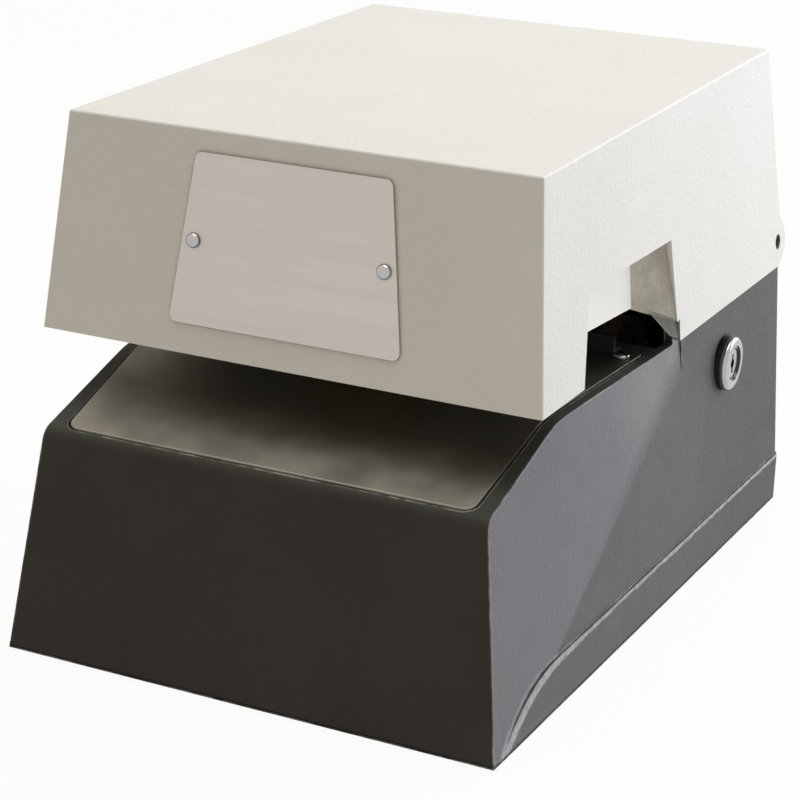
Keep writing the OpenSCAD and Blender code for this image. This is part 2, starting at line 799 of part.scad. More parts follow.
module frame_plate(x0) {
    difference() {
        along_x(x0, x0 + frame_t) polygon([
            [jaw_y, floor_z], [frame_back_y, floor_z], [frame_back_y, cam_z + 26],
            [arm_y + 34, frame_top_z], [arm_y - 8, frame_top_z - 2], [deck_end_y + 1.5, arm_z - 14],
            [deck_end_y + 1.5, jaw_z], [jaw_y, jaw_z]
        ]);
        rod_x(-far, far, arm_y, arm_z, pivot_r);
        rod_x(-far, far, cam_y, cam_z, bushing_r);
        rod_x(-far, far, motor_y, motor_z, shaft_window_r);
        rod_x(-far, far, spring_rest_y, spring_rod_z, spring_rod_r);
        for (z = anvil_bolts_z) rod_x(-far, far, die_y, z, frame_bolt_r);
        for (y = bars_y) rod_x(-far, far, y, bar_z, frame_bolt_r);
    }
}

module frame_plate_left() {
    color([0.35, 0.36, 0.38]) machine() frame_plate(-frame_out);
}

module frame_plate_right() {
    color([0.35, 0.36, 0.38]) machine() difference() {
        frame_plate(frame_x);
        rod_x(0, far, idler_y, idler_z, idler_r);
    }
}

module frame_cross_bars() {
    color([0.5, 0.5, 0.52]) machine() for (y = bars_y) difference() {
        translate([-frame_x, y - bar_w / 2, floor_z]) cube([frame_gap, bar_w, bar_w]);
        rod_x(-far, far, y, bar_z, frame_bolt_r);
        both_sides() rod_z(bar_screw_x, y, floor_z - 1, floor_z + bar_screw_l + 0.5, base_screw_r);
    }
}

module frame_bolts() {
    color([0.2, 0.2, 0.22]) machine() both_sides() {
        for (y = bars_y)
            translate([frame_out, y, bar_z]) rotate([0, 90, 0]) hex_bolt(frame_bolt_r, frame_t + bar_bolt_l);
        for (z = anvil_bolts_z)
            translate([frame_out, die_y, z]) rotate([0, 90, 0])
                hex_bolt(frame_bolt_r, frame_t + anvil_bolt_l);
    }
}

module die_anvil() {
    color([0.45, 0.46, 0.48]) machine() difference() {
        translate([-frame_x, jaw_y + 2, anvil_z - anvil_h])
            cube([frame_gap, 2 * (die_y - jaw_y - 2), anvil_h]);
        for (z = anvil_bolts_z) rod_x(-far, far, die_y, z, frame_bolt_r);
    }
}

// Round die with a raised working disc
module die_disc() {
    rotate_extrude() polygon([
        [0, 0], [die_r + die_flange, 0], [die_r + die_flange, die_flange_t], [die_r - 2, die_flange_t],
        [die_r - 3, die_t], [0, die_t]
    ]);
}

module lower_die() {
    color([0.75, 0.68, 0.45]) machine() translate([0, die_y, anvil_z]) die_disc();
}

module arm_pivot_shaft() {
    color([0.7, 0.7, 0.72]) machine()
        rod_x(-frame_out - shaft_proud, frame_out + shaft_proud - 1, arm_y, arm_z, pivot_r);
}

module cam_shaft_bushings() {
    color([0.72, 0.55, 0.25]) machine() both_sides() difference() {
        rod_x(frame_x - 1, frame_out, cam_y, cam_z, bushing_r);
        rod_x(0, far, cam_y, cam_z, cam_shaft_r + run_gap);
    }
}

module idler_stud() {
    head_x = train_end_x + 2 * hub_gap;
    color([0.7, 0.7, 0.72]) machine() {
        rod_x(frame_x - shaft_proud, head_x, idler_y, idler_z, idler_r);
        rod_x(head_x, head_x + stud_head_t, idler_y, idler_z, stud_head_r);
    }
}

module spring_anchor_rod() {
    color([0.7, 0.7, 0.72]) machine()
        rod_x(-frame_out - 1, frame_out + 1, spring_rest_y, spring_rod_z, spring_rod_r);
}

// ---- Motor ----

module motor_stator() {
    color([0.4, 0.41, 0.43]) machine() difference() {
        along_x(-stator_l / 2, stator_l / 2) translate([motor_y, motor_z])
            polygon(round_outline(rect(stator_w, stator_w), 6));
        rod_x(-far, far, motor_y, motor_z, rotor_r + motor_air);
        // windows that the coils fill
        for (y = [-coil_dy, coil_dy]) translate([0, motor_y + y, motor_z])
            cube([stator_l + 1, coil_w + 2 * seat_gap, coil_h + 2 * seat_gap], center = true);
    }
}

module motor_coils() {
    color([0.62, 0.34, 0.16]) machine() for (y = [-coil_dy, coil_dy])
        translate([0, motor_y + y, motor_z]) cube([stator_l + 2 * coil_out, coil_w, coil_h], center = true);
}

// Upright strap with a bearing bore, on four posts between the stator and the frame plate
module motor_bell() {
    strap_x = frame_x - motor_strap_in;
    difference() {
        union() {
            along_x(strap_x, strap_x + motor_strap_t) translate([motor_y, motor_z])
                polygon(round_outline(rect(motor_strap_w, stator_w), 4));
            rod_x(strap_x, frame_x, motor_y, motor_z, motor_hub_r);
            for (y = [-motor_post_y, motor_post_y]) for (z = [-motor_post_z, motor_post_z])
                rod_x(stator_l / 2, frame_x, motor_y + y, motor_z + z, motor_post_r);
        }
        rod_x(-far, far, motor_y, motor_z, motor_shaft_r + run_gap);
    }
}

module motor_front_bracket() {
    color([0.72, 0.73, 0.75]) machine() motor_bell();
}

module motor_rear_bracket() {
    color([0.72, 0.73, 0.75]) machine() mirror([1, 0, 0]) motor_bell();
}

module motor_rotor() {
    color([0.55, 0.56, 0.58]) machine() {
        rod_x(-stator_l / 2, stator_l / 2, motor_y, motor_z, rotor_r);
        rod_x(-frame_out - motor_tail, train_end_x, motor_y, motor_z, motor_shaft_r);
    }
}

// ---- Gears ----

function involute_deg(a) = tan(a) * 180 / PI - a;

// Half the angle that a tooth covers at radius r
function tooth_half(m, teeth, r) =
    let (pitch = m * teeth / 2, root = pitch * cos(pressure), at = max(r, root))
    90 / teeth + involute_deg(pressure) - involute_deg(acos(root / at)) - tooth_play / pitch * 180 / PI / 2;

function gear_outline(m, teeth, addendum) =
    let (
        pitch = m * teeth / 2,
        low = pitch - 1.25 * m,
        flank = max(low + 0.01, pitch * cos(pressure)),
        tip = pitch + addendum * m,
        radii = [low, flank, (flank + pitch) / 2, pitch, (pitch + tip) / 2, tip]
    )
    [for (k = [0 : teeth - 1]) for (s = [-1, 1]) for (i = [0 : 5])
        let (r = radii[s < 0 ? i : 5 - i], a = 360 * k / teeth + s * tooth_half(m, teeth, r))
        r * [cos(a), sin(a)]];

module gear(m, teeth, addendum, x0, w, y, z, turn) {
    translate([0, y, z]) along_x(x0, x0 + w) rotate(turn) polygon(gear_outline(m, teeth, addendum));
}

// Ring of holes through a gear's web, from x0 outwards
module lightening_holes(x0, y, z, at, r) {
    for (a = [0 : 60 : 300]) rod_x(x0, far, y + at * cos(a), z + at * sin(a), r);
}

module cam_gear() {
    color([0.3, 0.3, 0.32]) machine() difference() {
        union() {
            gear(slow_module, gear_teeth, 0.75, slow_x, slow_w, cam_y, cam_z, slow_dir);
            rod_x(frame_out + hub_gap, slow_x + slow_w + 2, cam_y, cam_z, gear_hub_r);
        }
        rod_x(0, far, cam_y, cam_z, cam_shaft_r);
        lightening_holes(0, cam_y, cam_z, gear_holes_at, gear_holes_r);
    }
}

module idler_gear() {
    color([0.78, 0.76, 0.68]) machine() difference() {
        union() {
            gear(slow_module, pinion_teeth, 1, slow_x - 0.5, slow_w + 1, idler_y, idler_z,
                slow_dir + 180 + 180 / pinion_teeth);
            gear(fast_module, gear_teeth, 0.75, fast_x, fast_w, idler_y, idler_z, fast_dir);
            rod_x(frame_out + hub_gap, fast_x, idler_y, idler_z, idler_hub_r);
        }
        rod_x(0, far, idler_y, idler_z, idler_r + run_gap);
        lightening_holes(fast_x - 0.1, idler_y, idler_z, idler_holes_at, idler_holes_r);
    }
}

module motor_pinion() {
    color([0.6, 0.6, 0.62]) machine() difference() {
        gear(fast_module, pinion_teeth, 1, fast_x - 0.5, fast_w + 0.5, motor_y, motor_z,
            fast_dir + 180 + 180 / pinion_teeth);
        rod_x(0, far, motor_y, motor_z, motor_shaft_r);
    }
}

// ---- Cam and press arm ----

// Angle of the arm above rest while the cam turns from 0 to 360 degrees
function arm_at(turn) =
    turn <= cam_rise_deg
        ? arm_stroke * turn / cam_rise_deg
        : let (t = (turn - cam_rise_deg) / (360 - cam_rise_deg)) arm_stroke * (1 - t * t * (3 - 2 * t));

// Middle of the roller in the turning frame of the cam
function roller_at(turn) =
    let (
        a = tail_deg + arm_at(turn),
        p = [tail_l * cos(a) - cam_dy, tail_l * sin(a) - cam_dz]
    )
    [p[0] * cos(turn) + p[1] * sin(turn), p[1] * cos(turn) - p[0] * sin(turn)];

// The cam's edge keeps the roller's radius and a running gap from that path
function cam_edge(turn) =
    let (
        step = 0.5,
        p = roller_at(turn),
        way = roller_at(min(turn + step, 360)) - roller_at(max(turn - step, 0)),
        side = [way[1], -way[0]] / norm(way)
    )
    p + side * (roller_r + cam_gap) * (side * p > 0 ? -1 : 1);

module drive_cam() {
    color([0.5, 0.5, 0.53]) machine() difference() {
        union() {
            translate([0, cam_y, cam_z]) along_x(-cam_w / 2, cam_w / 2)
                polygon([for (a = [355 : -5 : 0]) cam_edge(a)]);
            rod_x(-cam_w / 2 - cam_hub_l, cam_w / 2 + cam_hub_l, cam_y, cam_z, cam_hub_r);
        }
        rod_x(-far, far, cam_y, cam_z, cam_shaft_r);
    }
}

module cam_shaft() {
    color([0.7, 0.7, 0.72]) machine()
        rod_x(-frame_out - shaft_proud, slow_x + slow_w + shaft_proud, cam_y, cam_z, cam_shaft_r);
}

// Drawn with the dies closed, then turned back to rest about the pivot
module arm_pose() {
    machine() translate([0, arm_y, arm_z]) rotate([-arm_stroke, 0, 0])
        translate([0, -arm_y, -arm_z]) children();
}

roller_y = arm_y + tail_l * cos(tail_deg + arm_stroke);
roller_z = arm_z + tail_l * sin(tail_deg + arm_stroke);

module press_arm() {
    color([0.28, 0.29, 0.31]) arm_pose() difference() {
        union() {
            rod_x(-frame_x + hub_gap, frame_x - hub_gap, arm_y, arm_z, arm_hub_r);
            // beam from the hub down to the head
            along_x(-arm_w / 2, arm_w / 2) polygon([
                [arm_y - 4, arm_z - arm_hub_r + 1], [arm_y, arm_z + arm_hub_r],
                [die_y + 2, head_z + arm_nose_h + 8], [die_y - holder_w / 2, head_z + arm_nose_h],
                [die_y - holder_w / 2, head_z], [die_y + holder_w / 2, head_z],
                [die_y + holder_w / 2 + 12, head_z + 3]
            ]);
            translate([-head_w / 2, die_y - head_l / 2, head_z]) cube([head_w, head_l, head_h]);
            both_sides() along_x(cheek_x, cheek_x + cheek_t) union() {
                polygon([
                    [arm_y + 2, arm_z - arm_hub_r], [roller_y, roller_z - arm_eye_r],
                    [roller_y, roller_z + arm_eye_r], [arm_y, arm_z + arm_hub_r]
                ]);
                translate([roller_y, roller_z]) circle(r = arm_eye_r);
            }
            rod_x(cheek_x, spring_x + 4, spring_y, arm_z + spring_pin_up, spring_rod_r);
        }
        rod_x(-far, far, arm_y, arm_z, pivot_r + run_gap);
        rod_x(-far, far, roller_y, roller_z, roller_pin_r);
    }
}

module roller_pin() {
    half_l = cheek_x + cheek_t + 1;
    color([0.7, 0.7, 0.72]) arm_pose() rod_x(-half_l, half_l, roller_y, roller_z, roller_pin_r);
}

module cam_roller() {
    color([0.6, 0.6, 0.62]) arm_pose() difference() {
        rod_x(-cheek_x + hub_gap, cheek_x - hub_gap, roller_y, roller_z, roller_r);
        rod_x(-far, far, roller_y, roller_z, roller_pin_r + run_gap);
    }
}

module upper_die_holder() {
    block_z = head_z - holder_block_t;
    color([0.45, 0.46, 0.48]) arm_pose() {
        translate([-holder_w / 2, die_y - holder_w / 2, block_z]) cube([holder_w, holder_w, holder_block_t]);
        rod_z(0, die_y, head_z - holder_t, block_z + touch, die_plug_r);
    }
}

module upper_die() {
    color([0.75, 0.68, 0.45]) arm_pose() translate([0, die_y, head_z - holder_t])
        mirror([0, 0, 1]) die_disc();
}

// Point on the spring's wire, t from 0 to 1 along the coil
function coil_point(t, z0, z1) =
    let (a = 360 * spring_turns * t)
    [spring_coil_r * cos(a), spring_coil_r * sin(a), z0 + (z1 - z0) * t];

module coil(z0, z1) {
    sides = 6;
    rings = spring_turns * 12;
    ring_list = [for (i = [0 : rings]) for (k = [0 : sides - 1])
        let (
            p = coil_point(i / rings, z0, z1),
            out = [p[0], p[1], 0] / spring_coil_r,
            a = 360 * k / sides
        )
        p + spring_wire_r * (out * cos(a) + [0, 0, 1] * sin(a))];
    faces_side = [for (i = [0 : rings - 1]) for (k = [0 : sides - 1])
        [i * sides + k, i * sides + (k + 1) % sides, (i + 1) * sides + (k + 1) % sides, (i + 1) * sides + k]];
    faces_end = [[for (k = [sides - 1 : -1 : 0]) k], [for (k = [0 : sides - 1]) rings * sides + k]];
    polyhedron(points = ring_list, faces = concat(faces_side, faces_end), convexity = 10);
}

module return_spring() {
    z0 = spring_rod_z + spring_eye_r;
    z1 = spring_rest_z - spring_eye_r;
    color([0.75, 0.75, 0.78]) machine() translate([spring_x, spring_rest_y, 0]) {
        coil(z0, z1);
        for (z = [spring_rod_z, spring_rest_z]) translate([0, 0, z]) rotate([0, 90, 0])
            rotate_extrude($fn = 24) translate([spring_eye_r, 0]) circle(r = spring_wire_r, $fn = 8);
        for (z = [z0, z1]) translate([0, 0, z]) rotate([0, 90, 0])
            cylinder(h = spring_coil_r, r = spring_wire_r + 0.1, $fn = 16);
    }
}

// ---- Hinge, lock and rests ----

module hinge_pins() {
    color([0.1, 0.1, 0.11]) machine() both_sides()
        rod_x(lug_x - lug_t - 2, cover_side_x(hinge_y, hinge_z) - 1, hinge_y, hinge_z, hinge_pin_r);
}

module lock_body() {
    color([0.82, 0.82, 0.84]) machine() difference() {
        union() {
            rod_x(lock_in_x, lock_face_x, lock_y, lock_z, lock_body_r);
            translate([lock_face_x, lock_y, lock_z]) rotate([0, 90, 0]) rotate_extrude() polygon([
                [0, 0], [lock_head_r, 0], [lock_head_r, lock_head_h - head_edge],
                [lock_head_r - head_edge, lock_head_h], [0, lock_head_h]
            ]);
        }
        rod_x(0, far, lock_y, lock_z, lock_plug_r + run_gap);
    }
}

module lock_nut() {
    color([0.7, 0.7, 0.72]) machine() difference() {
        translate([lock_nut_x - lock_nut_t, lock_y, lock_z]) rotate([0, 90, 0])
            cylinder(h = lock_nut_t, r = lock_nut_r, $fn = 6);
        rod_x(0, far, lock_y, lock_z, lock_body_r);
    }
}

module lock_plug() {
    rim_x = lock_face_x + lock_head_h;
    color([0.72, 0.72, 0.74]) machine() difference() {
        rod_x(lock_in_x - tongue_t - 2 * hub_gap, rim_x - plug_in, lock_y, lock_z, lock_plug_r);
        translate([rim_x - key_deep, lock_y - key_w / 2, lock_z - key_h / 2])
            cube([key_deep + 1, key_w, key_h]);
        rod_x(rim_x - key_deep, far, lock_y, lock_z, key_r);
    }
}

module lock_tongue() {
    color([0.75, 0.75, 0.77]) machine() difference() {
        along_x(lock_in_x - tongue_t - hub_gap, lock_in_x - hub_gap) union() {
            translate([lock_y, lock_z]) circle(r = tongue_hub_r);
            translate([lock_y - tongue_w / 2, lock_z]) square([tongue_w, tongue_l - tongue_w / 4]);
            translate([lock_y, lock_z + tongue_l - tongue_w / 2]) circle(r = tongue_w / 2);
        }
        rod_x(0, far, lock_y, lock_z, lock_plug_r);
    }
}

// Bracket on the cover's wall: leg on the wall, ledge over the base's side wall
module wall_bracket(extra) {
    along_y(strike_y, strike_y + strike_w) polygon(concat(
        [
            [bracket_wall_x(ledge_z), ledge_z],
            [bracket_wall_x(ledge_z + bracket_leg), ledge_z + bracket_leg],
            [bracket_wall_x(ledge_z + bracket_leg) - strike_t, ledge_z + bracket_leg],
            [bracket_wall_x(ledge_z + strike_t) - strike_t, ledge_z + strike_t]
        ],
        extra
    ));
}

module lock_strike() {
    color([0.72, 0.72, 0.74]) machine() wall_bracket([
        [strike_x - strike_t, ledge_z + strike_t], [strike_x - strike_t, strike_z],
        [lock_in_x - hook_in, strike_z], [lock_in_x - hook_in, strike_z - strike_t],
        [strike_x, strike_z - strike_t],
        [strike_x, ledge_z]
    ]);
}

module rest_bracket() {
    color([0.72, 0.72, 0.74]) machine() mirror([1, 0, 0]) wall_bracket([
        [strike_x - strike_t, ledge_z + strike_t], [strike_x - strike_t, ledge_z]
    ]);
}

module cover_bumpers() {
    outer = side_x - (wall_top_z - skirt_h) * tan(side_lean);
    color([0.07, 0.07, 0.07]) machine() both_sides() difference() {
        translate([outer - base_wall - 1.2 * bumper_t, bumper_y - bumper_w / 2, wall_top_z - bumper_grip])
            cube([base_wall + 2.2 * bumper_t, bumper_w, ledge_z - seat_gap - wall_top_z + bumper_grip]);
        base_form();
    }
}

// ---- Throat trigger ----

module trigger_bracket() {
    color([0.6, 0.61, 0.63]) machine() difference() {
        union() {
            for (s = [-1, 1]) along_x(trigger_x + (s > 0 ? bracket_x : -bracket_x - bracket_t),
                    trigger_x + (s > 0 ? bracket_x + bracket_t : -bracket_x))
                polygon([
                    [bracket_y, trigger_z - bracket_drop],
                    [trigger_y + bracket_back, trigger_z - bracket_drop],
                    [trigger_y + bracket_back, deck_under_z], [bracket_y, deck_under_z]
                ]);
            translate([trigger_x - bracket_x - bracket_t, bracket_y, deck_under_z - bracket_t])
                cube([2 * (bracket_x + bracket_t), switch_d - 2, bracket_t]);
        }
        rod_x(-far, 0, trigger_y, trigger_z, trigger_pin_r);
    }
}

module trigger_pin() {
    half_l = bracket_x + bracket_t + 1;
    color([0.7, 0.7, 0.72]) machine()
        rod_x(trigger_x - half_l, trigger_x + half_l, trigger_y, trigger_z, trigger_pin_r);
}

module trigger_switch() {
    body_y = button_y - button_l;
    color([0.12, 0.12, 0.13]) machine() difference() {
        translate([trigger_x - switch_t / 2, body_y - switch_d, trigger_z - switch_drop])
            cube([switch_t, switch_d, switch_h]);
        rod_y(trigger_x, body_y - button_deep, body_y + 1, trigger_z - button_drop, button_r + run_gap);
    }
}

module switch_button() {
    color([0.75, 0.15, 0.12]) machine()
        rod_y(trigger_x, button_y - button_l - button_in, button_y, trigger_z - button_drop, button_r);
}

module trigger_lever() {
    nose_y = button_y + seat_gap;
    nose_z = trigger_z - button_drop;
    color([0.68, 0.69, 0.71]) machine() difference() {
        along_x(trigger_x - trigger_w / 2, trigger_x + trigger_w / 2) union() {
            translate([trigger_y, trigger_z]) circle(r = trigger_hub_r);
            // finger that the sheet pushes
            polygon([
                [trigger_y - 2, trigger_z], [trigger_y + 2, trigger_z], [trigger_y, trigger_top_z],
                [trigger_y - trigger_tip, trigger_top_z]
            ]);
            // nose on the button
            polygon([
                [nose_y, nose_z - nose_h / 2], [trigger_y + 1, nose_z - nose_h / 2],
                [trigger_y + 2, trigger_z], [trigger_y - 4, trigger_z], [nose_y, nose_z + nose_h / 2]
            ]);
        }
        rod_x(-far, 0, trigger_y, trigger_z, trigger_pin_r + run_gap);
    }
}

// ---- Rear panel ----

module power_inlet() {
    back_y = panel_y - inlet_deep;
    color([0.1, 0.1, 0.1]) machine() difference() {
        union() {
            panel_block(inlet_x, back_y, panel_y + touch, inlet_w, inlet_h);
            panel_block(inlet_x, panel_y, panel_y + inlet_flange_t,
                inlet_w + 2 * inlet_flange, inlet_h + 2 * inlet_flange);
        }
        panel_block(inlet_x, back_y + inlet_wall, base_l, inlet_w - 2 * inlet_wall, inlet_h - 2 * inlet_wall);
        for (x = [-blade_pitch, 0, blade_pitch])
            panel_block(inlet_x + x, back_y - 1, back_y + inlet_deep / 2, blade_w, blade_t);
    }
}

module inlet_blades() {
    back_y = panel_y - inlet_deep - blade_back;
    color([0.75, 0.72, 0.6]) machine() for (x = [-blade_pitch, 0, blade_pitch])
        panel_block(inlet_x + x, back_y, back_y + blade_l, blade_w, blade_t);
}

module power_switch_frame() {
    inner_w = switch_w - 2 * rocker_wall;
    half_hole = inner_w / 2 + 1;
    color([0.09, 0.09, 0.09]) machine() difference() {
        union() {
            panel_block(rocker_x, panel_y - rocker_deep, panel_y + touch, switch_w, rocker_h);
            panel_block(rocker_x, panel_y, panel_y + rocker_rim_t,
                switch_w + 2 * rocker_rim, rocker_h + 2 * rocker_rim);
        }
        panel_block(rocker_x, panel_y - rocker_r - 0.4, base_l, inner_w, rocker_h - 2 * rocker_wall);
        rod_x(rocker_x - half_hole, rocker_x + half_hole, panel_y, panel_z, rocker_pin_r + run_gap);
    }
}

// Wedge-backed rocker, tilted to its off side
module power_rocker() {
    half_w = switch_w / 2 - rocker_wall - seat_gap;
    tip = rocker_r - 0.5;
    color([0.6, 0.08, 0.07]) machine() union() {
        translate([0, panel_y, panel_z]) rotate([rocker_off, 0, 0])
            along_x(rocker_x - half_w, rocker_x + half_w) intersection() {
                polygon([
                    [-rocker_back, -rocker_back_h / 2], [-rocker_back, rocker_back_h / 2], [0.5, tip],
                    [rocker_out, tip], [rocker_out - rocker_dip, 0], [rocker_out, -tip], [0.5, -tip]
                ]);
                circle(r = rocker_r);
            }
        rod_x(rocker_x - half_w - 1.1, rocker_x + half_w + 1.1, panel_y, panel_z, rocker_pin_r);
    }
}

module fuse_holder() {
    color([0.12, 0.12, 0.13]) machine() union() {
        rod_y(fuse_x, panel_y - fuse_deep, panel_y + touch, panel_z, fuse_r);
        rod_y(fuse_x, panel_y, panel_y + fuse_flange_t, panel_z, fuse_flange_r);
        rod_y(fuse_x, panel_y + fuse_flange_t - touch, panel_y + fuse_cap_l, panel_z, fuse_r - seat_gap);
    }
}

// ---- Control board ----

board_y = arm_y + 14;
board_z = 34;
board_l = 56;
board_h = 44;
board_t = 1.6;
board_hole_in = 4;    // from the board's edges to its holes
board_hole_r = 1.5;
standoff_l = 8;
standoff_r = 3;
board_x = -frame_out - standoff_l;                 // inner face of the board
relay_l = 19;
relay_h = 16;
relay_t = 15;
relay_y = board_y + board_l / 2 - 2;
relay_z = board_z + board_h / 2 - 10;
capacitor_r = 6.5;
capacitor_l = 20;
capacitor_y = board_y + board_l / 4;
capacitor_z = board_z + board_h / 2 + 2;

module control_board() {
    color([0.1, 0.35, 0.2]) machine() difference() {
        translate([board_x - board_t, board_y, board_z]) cube([board_t, board_l, board_h]);
        for (y = [board_hole_in, board_l - board_hole_in]) for (z = [board_hole_in, board_h - board_hole_in])
            rod_x(-far, 0, board_y + y, board_z + z, board_hole_r);
    }
}

module board_standoffs() {
    color([0.75, 0.72, 0.6]) machine()
        for (y = [board_hole_in, board_l - board_hole_in])
        for (z = [board_hole_in, board_h - board_hole_in]) {
            rod_x(board_x, -frame_out, board_y + y, board_z + z, standoff_r);
            rod_x(board_x - board_t - 1.4, board_x + touch, board_y + y, board_z + z, board_hole_r);
        }
}

module board_relay() {
    color([0.15, 0.3, 0.6]) machine()
        translate([board_x - board_t - relay_t, relay_y, relay_z]) cube([relay_t, relay_l, relay_h]);
}

module board_capacitor() {
    color([0.14, 0.16, 0.22]) machine()
        rod_x(board_x - board_t - capacitor_l, board_x - board_t, capacitor_y, capacitor_z, capacitor_r);
}

// ---- Cover ----

module cover_sides(inset = 0) {
    outside(cover_x, cover_y, cover_z, cover_side_lean, cover_side_yaw, inset);
}

function notch_u(y) = y - cover_y;                 // distance along the cover's side

module notch_cut() {
    u0 = notch_u(notch_y);
    u1 = notch_u(notch_end_y);
    v = notch_h;
    on_cover_side() along_x(-cover_wall - 6, 6)
        polygon([
            [u0 - 0.4, -2], [u1 + 0.4, -cover_skirt_drop - 2], [u1, -cover_skirt_drop],
            [u1 - notch_back_lean + 4, 0.5], [u1 - notch_back_lean, v - 1], [u0 + notch_lean, v]
        ]);
}

// Pressed-in finger pocket that closes the upper part of the notch
module notch_pocket() {
    u0 = notch_u(notch_y) + pocket_rim;
    u1 = notch_u(notch_end_y) - pocket_rim;
    valley = notch_u(pocket_y);
    v = notch_h;
    back = pocket_t + 0.6;
    on_cover_side() {
        intersection() {
            // two flaps that meet in the valley
            translate([0, 0, -pocket_hang]) linear_extrude(v + pocket_hang + pocket_t) polygon([
                [0, u0], [-pocket_depth, valley], [0, u1], [0, u1 + 2], [-back, u1 + 2],
                [-pocket_depth - back, valley], [-back, u0 - 3], [-0.2, u0 - 3]
            ]);
            // slanting lower edge
            along_x(-20, 2) polygon([
                [u0 - 4, pocket_front_h + 0.6], [u0, pocket_front_h], [valley, pocket_valley_h], [u1, 0],
                [u1 + 6, -2.5], [u1 + 6, v + 3], [u0 - 4, v + 3]
            ]);
            // ends that lie behind the notch's edges
            along_x(-20, 2) polygon([
                [u0 - 4, -pocket_hang], [u1 + 1.6, -pocket_hang], [u1 + 1.6, 0.6], [u1 - 3, v + pocket_t],
                [u0 - 4 + notch_lean, v + pocket_t], [u0 - 4, 0]
            ]);
        }
        // roof
        translate([0, 0, v - 0.6]) linear_extrude(back) polygon([
            [-1.4, u0 + 0.6], [-1.4, u1 + 0.5], [-pocket_depth - pocket_t, valley]
        ]);
    }
}

module hinge_ear() {
    along_x(lug_x + hub_gap, base_w) translate([hinge_y, hinge_z]) circle(r = ear_r);
}

module cover_shell() {
    color([0.93, 0.92, 0.89]) machine() difference() {
        union() {
            difference() {
                along_x(-base_w, base_w) polygon(cover_outline);
                difference() {
                    along_x(-base_w, base_w) polygon(inset_outline(cover_core, cover_wall));
                    cover_sides(cover_wall);
                }
                both_sides() notch_cut();
                // the rear wall ends above the ridge of the base
                translate([-lug_x - hub_gap, hinge_y - ear_r, 0])
                    cube([2 * (lug_x + hub_gap), far, ridge_z + 1]);
            }
            both_sides() {
                notch_pocket();
                hinge_ear();
            }
        }
        cover_sides();
        both_sides() {
            rod_x(0, far, hinge_y, hinge_z, hinge_pin_r + run_gap);
            // room for the base's hinge lug
            translate([lug_x - lug_t - lug_room, hinge_y - ear_r - 1, 0])
                cube([lug_t + lug_room + hub_gap, 2 * ear_r + 2, hinge_z + ear_r + 1]);
        }
        on_cover_front() for (x = [-rivet_w / 2, rivet_w / 2])
            translate([x, rivet_v, -far / 2]) cylinder(h = far, r = rivet_shank_r);
    }
}

module nameplate() {
    color([0.8, 0.77, 0.75]) machine() on_cover_front() difference() {
        linear_extrude(plate_t) polygon(round_outline([
            [-plate_bottom_w / 2, plate_v], [plate_bottom_w / 2, plate_v],
            [plate_top_w / 2, plate_v + plate_h], [-plate_top_w / 2, plate_v + plate_h]
        ], plate_r));
        for (x = [-rivet_w / 2, rivet_w / 2])
            translate([x, rivet_v, -1]) cylinder(h = plate_t + 2, r = rivet_shank_r);
    }
}

module nameplate_rivets() {
    color([0.75, 0.75, 0.76]) machine() on_cover_front() for (x = [-rivet_w / 2, rivet_w / 2])
        translate([x, rivet_v, plate_t]) rotate_extrude() polygon([
            [0, -plate_t - cover_wall], [rivet_shank_r, -plate_t - cover_wall], [rivet_shank_r, 0],
            [rivet_r, 0], [0.9 * rivet_r, 0.43 * rivet_h], [0.55 * rivet_r, 0.86 * rivet_h], [0, rivet_h]
        ]);
}

base_housing();
bottom_plate();
bottom_plate_screws();
rubber_feet();
foot_screws();
throat_plate();
throat_plate_screws();
paper_stop();
paper_stop_screws();
frame_plate_left();
frame_plate_right();
frame_cross_bars();
frame_bolts();
die_anvil();
lower_die();
arm_pivot_shaft();
cam_shaft_bushings();
idler_stud();
spring_anchor_rod();
motor_stator();
motor_coils();
motor_front_bracket();
motor_rear_bracket();
hinge_pins();
lock_body();
lock_nut();
cover_bumpers();
trigger_bracket();
trigger_switch();
trigger_pin();
power_inlet();
inlet_blades();
power_switch_frame();
fuse_holder();
control_board();
board_relay();
board_capacitor();
board_standoffs();
cover_shell();
nameplate();
nameplate_rivets();
lock_strike();
rest_bracket();
press_arm();
roller_pin();
upper_die_holder();
upper_die();
cam_roller();
cam_shaft();
drive_cam();
cam_gear();
idler_gear();
motor_rotor();
motor_pinion();
lock_plug();
lock_tongue();
trigger_lever();
switch_button();
power_rocker();
return_spring();
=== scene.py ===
import json
import math
import bpy
from mathutils import Matrix, Vector


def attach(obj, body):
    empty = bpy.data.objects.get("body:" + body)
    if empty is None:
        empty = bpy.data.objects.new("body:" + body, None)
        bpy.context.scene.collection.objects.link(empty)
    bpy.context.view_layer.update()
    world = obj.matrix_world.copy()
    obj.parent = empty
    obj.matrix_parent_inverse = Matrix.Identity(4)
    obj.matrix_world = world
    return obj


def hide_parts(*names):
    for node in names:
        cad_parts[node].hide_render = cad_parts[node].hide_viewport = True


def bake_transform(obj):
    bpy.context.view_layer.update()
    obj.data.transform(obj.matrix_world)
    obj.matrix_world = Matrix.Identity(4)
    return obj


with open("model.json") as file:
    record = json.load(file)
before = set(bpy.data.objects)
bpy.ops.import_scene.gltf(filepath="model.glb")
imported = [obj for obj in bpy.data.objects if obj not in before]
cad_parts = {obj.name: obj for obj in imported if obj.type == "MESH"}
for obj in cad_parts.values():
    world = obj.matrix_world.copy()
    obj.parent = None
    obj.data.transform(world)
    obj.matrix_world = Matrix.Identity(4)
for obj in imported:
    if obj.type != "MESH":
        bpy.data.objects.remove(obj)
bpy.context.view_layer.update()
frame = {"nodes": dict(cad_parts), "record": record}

nodes = frame["nodes"]
print("frame loaded:", len(nodes), "parts")


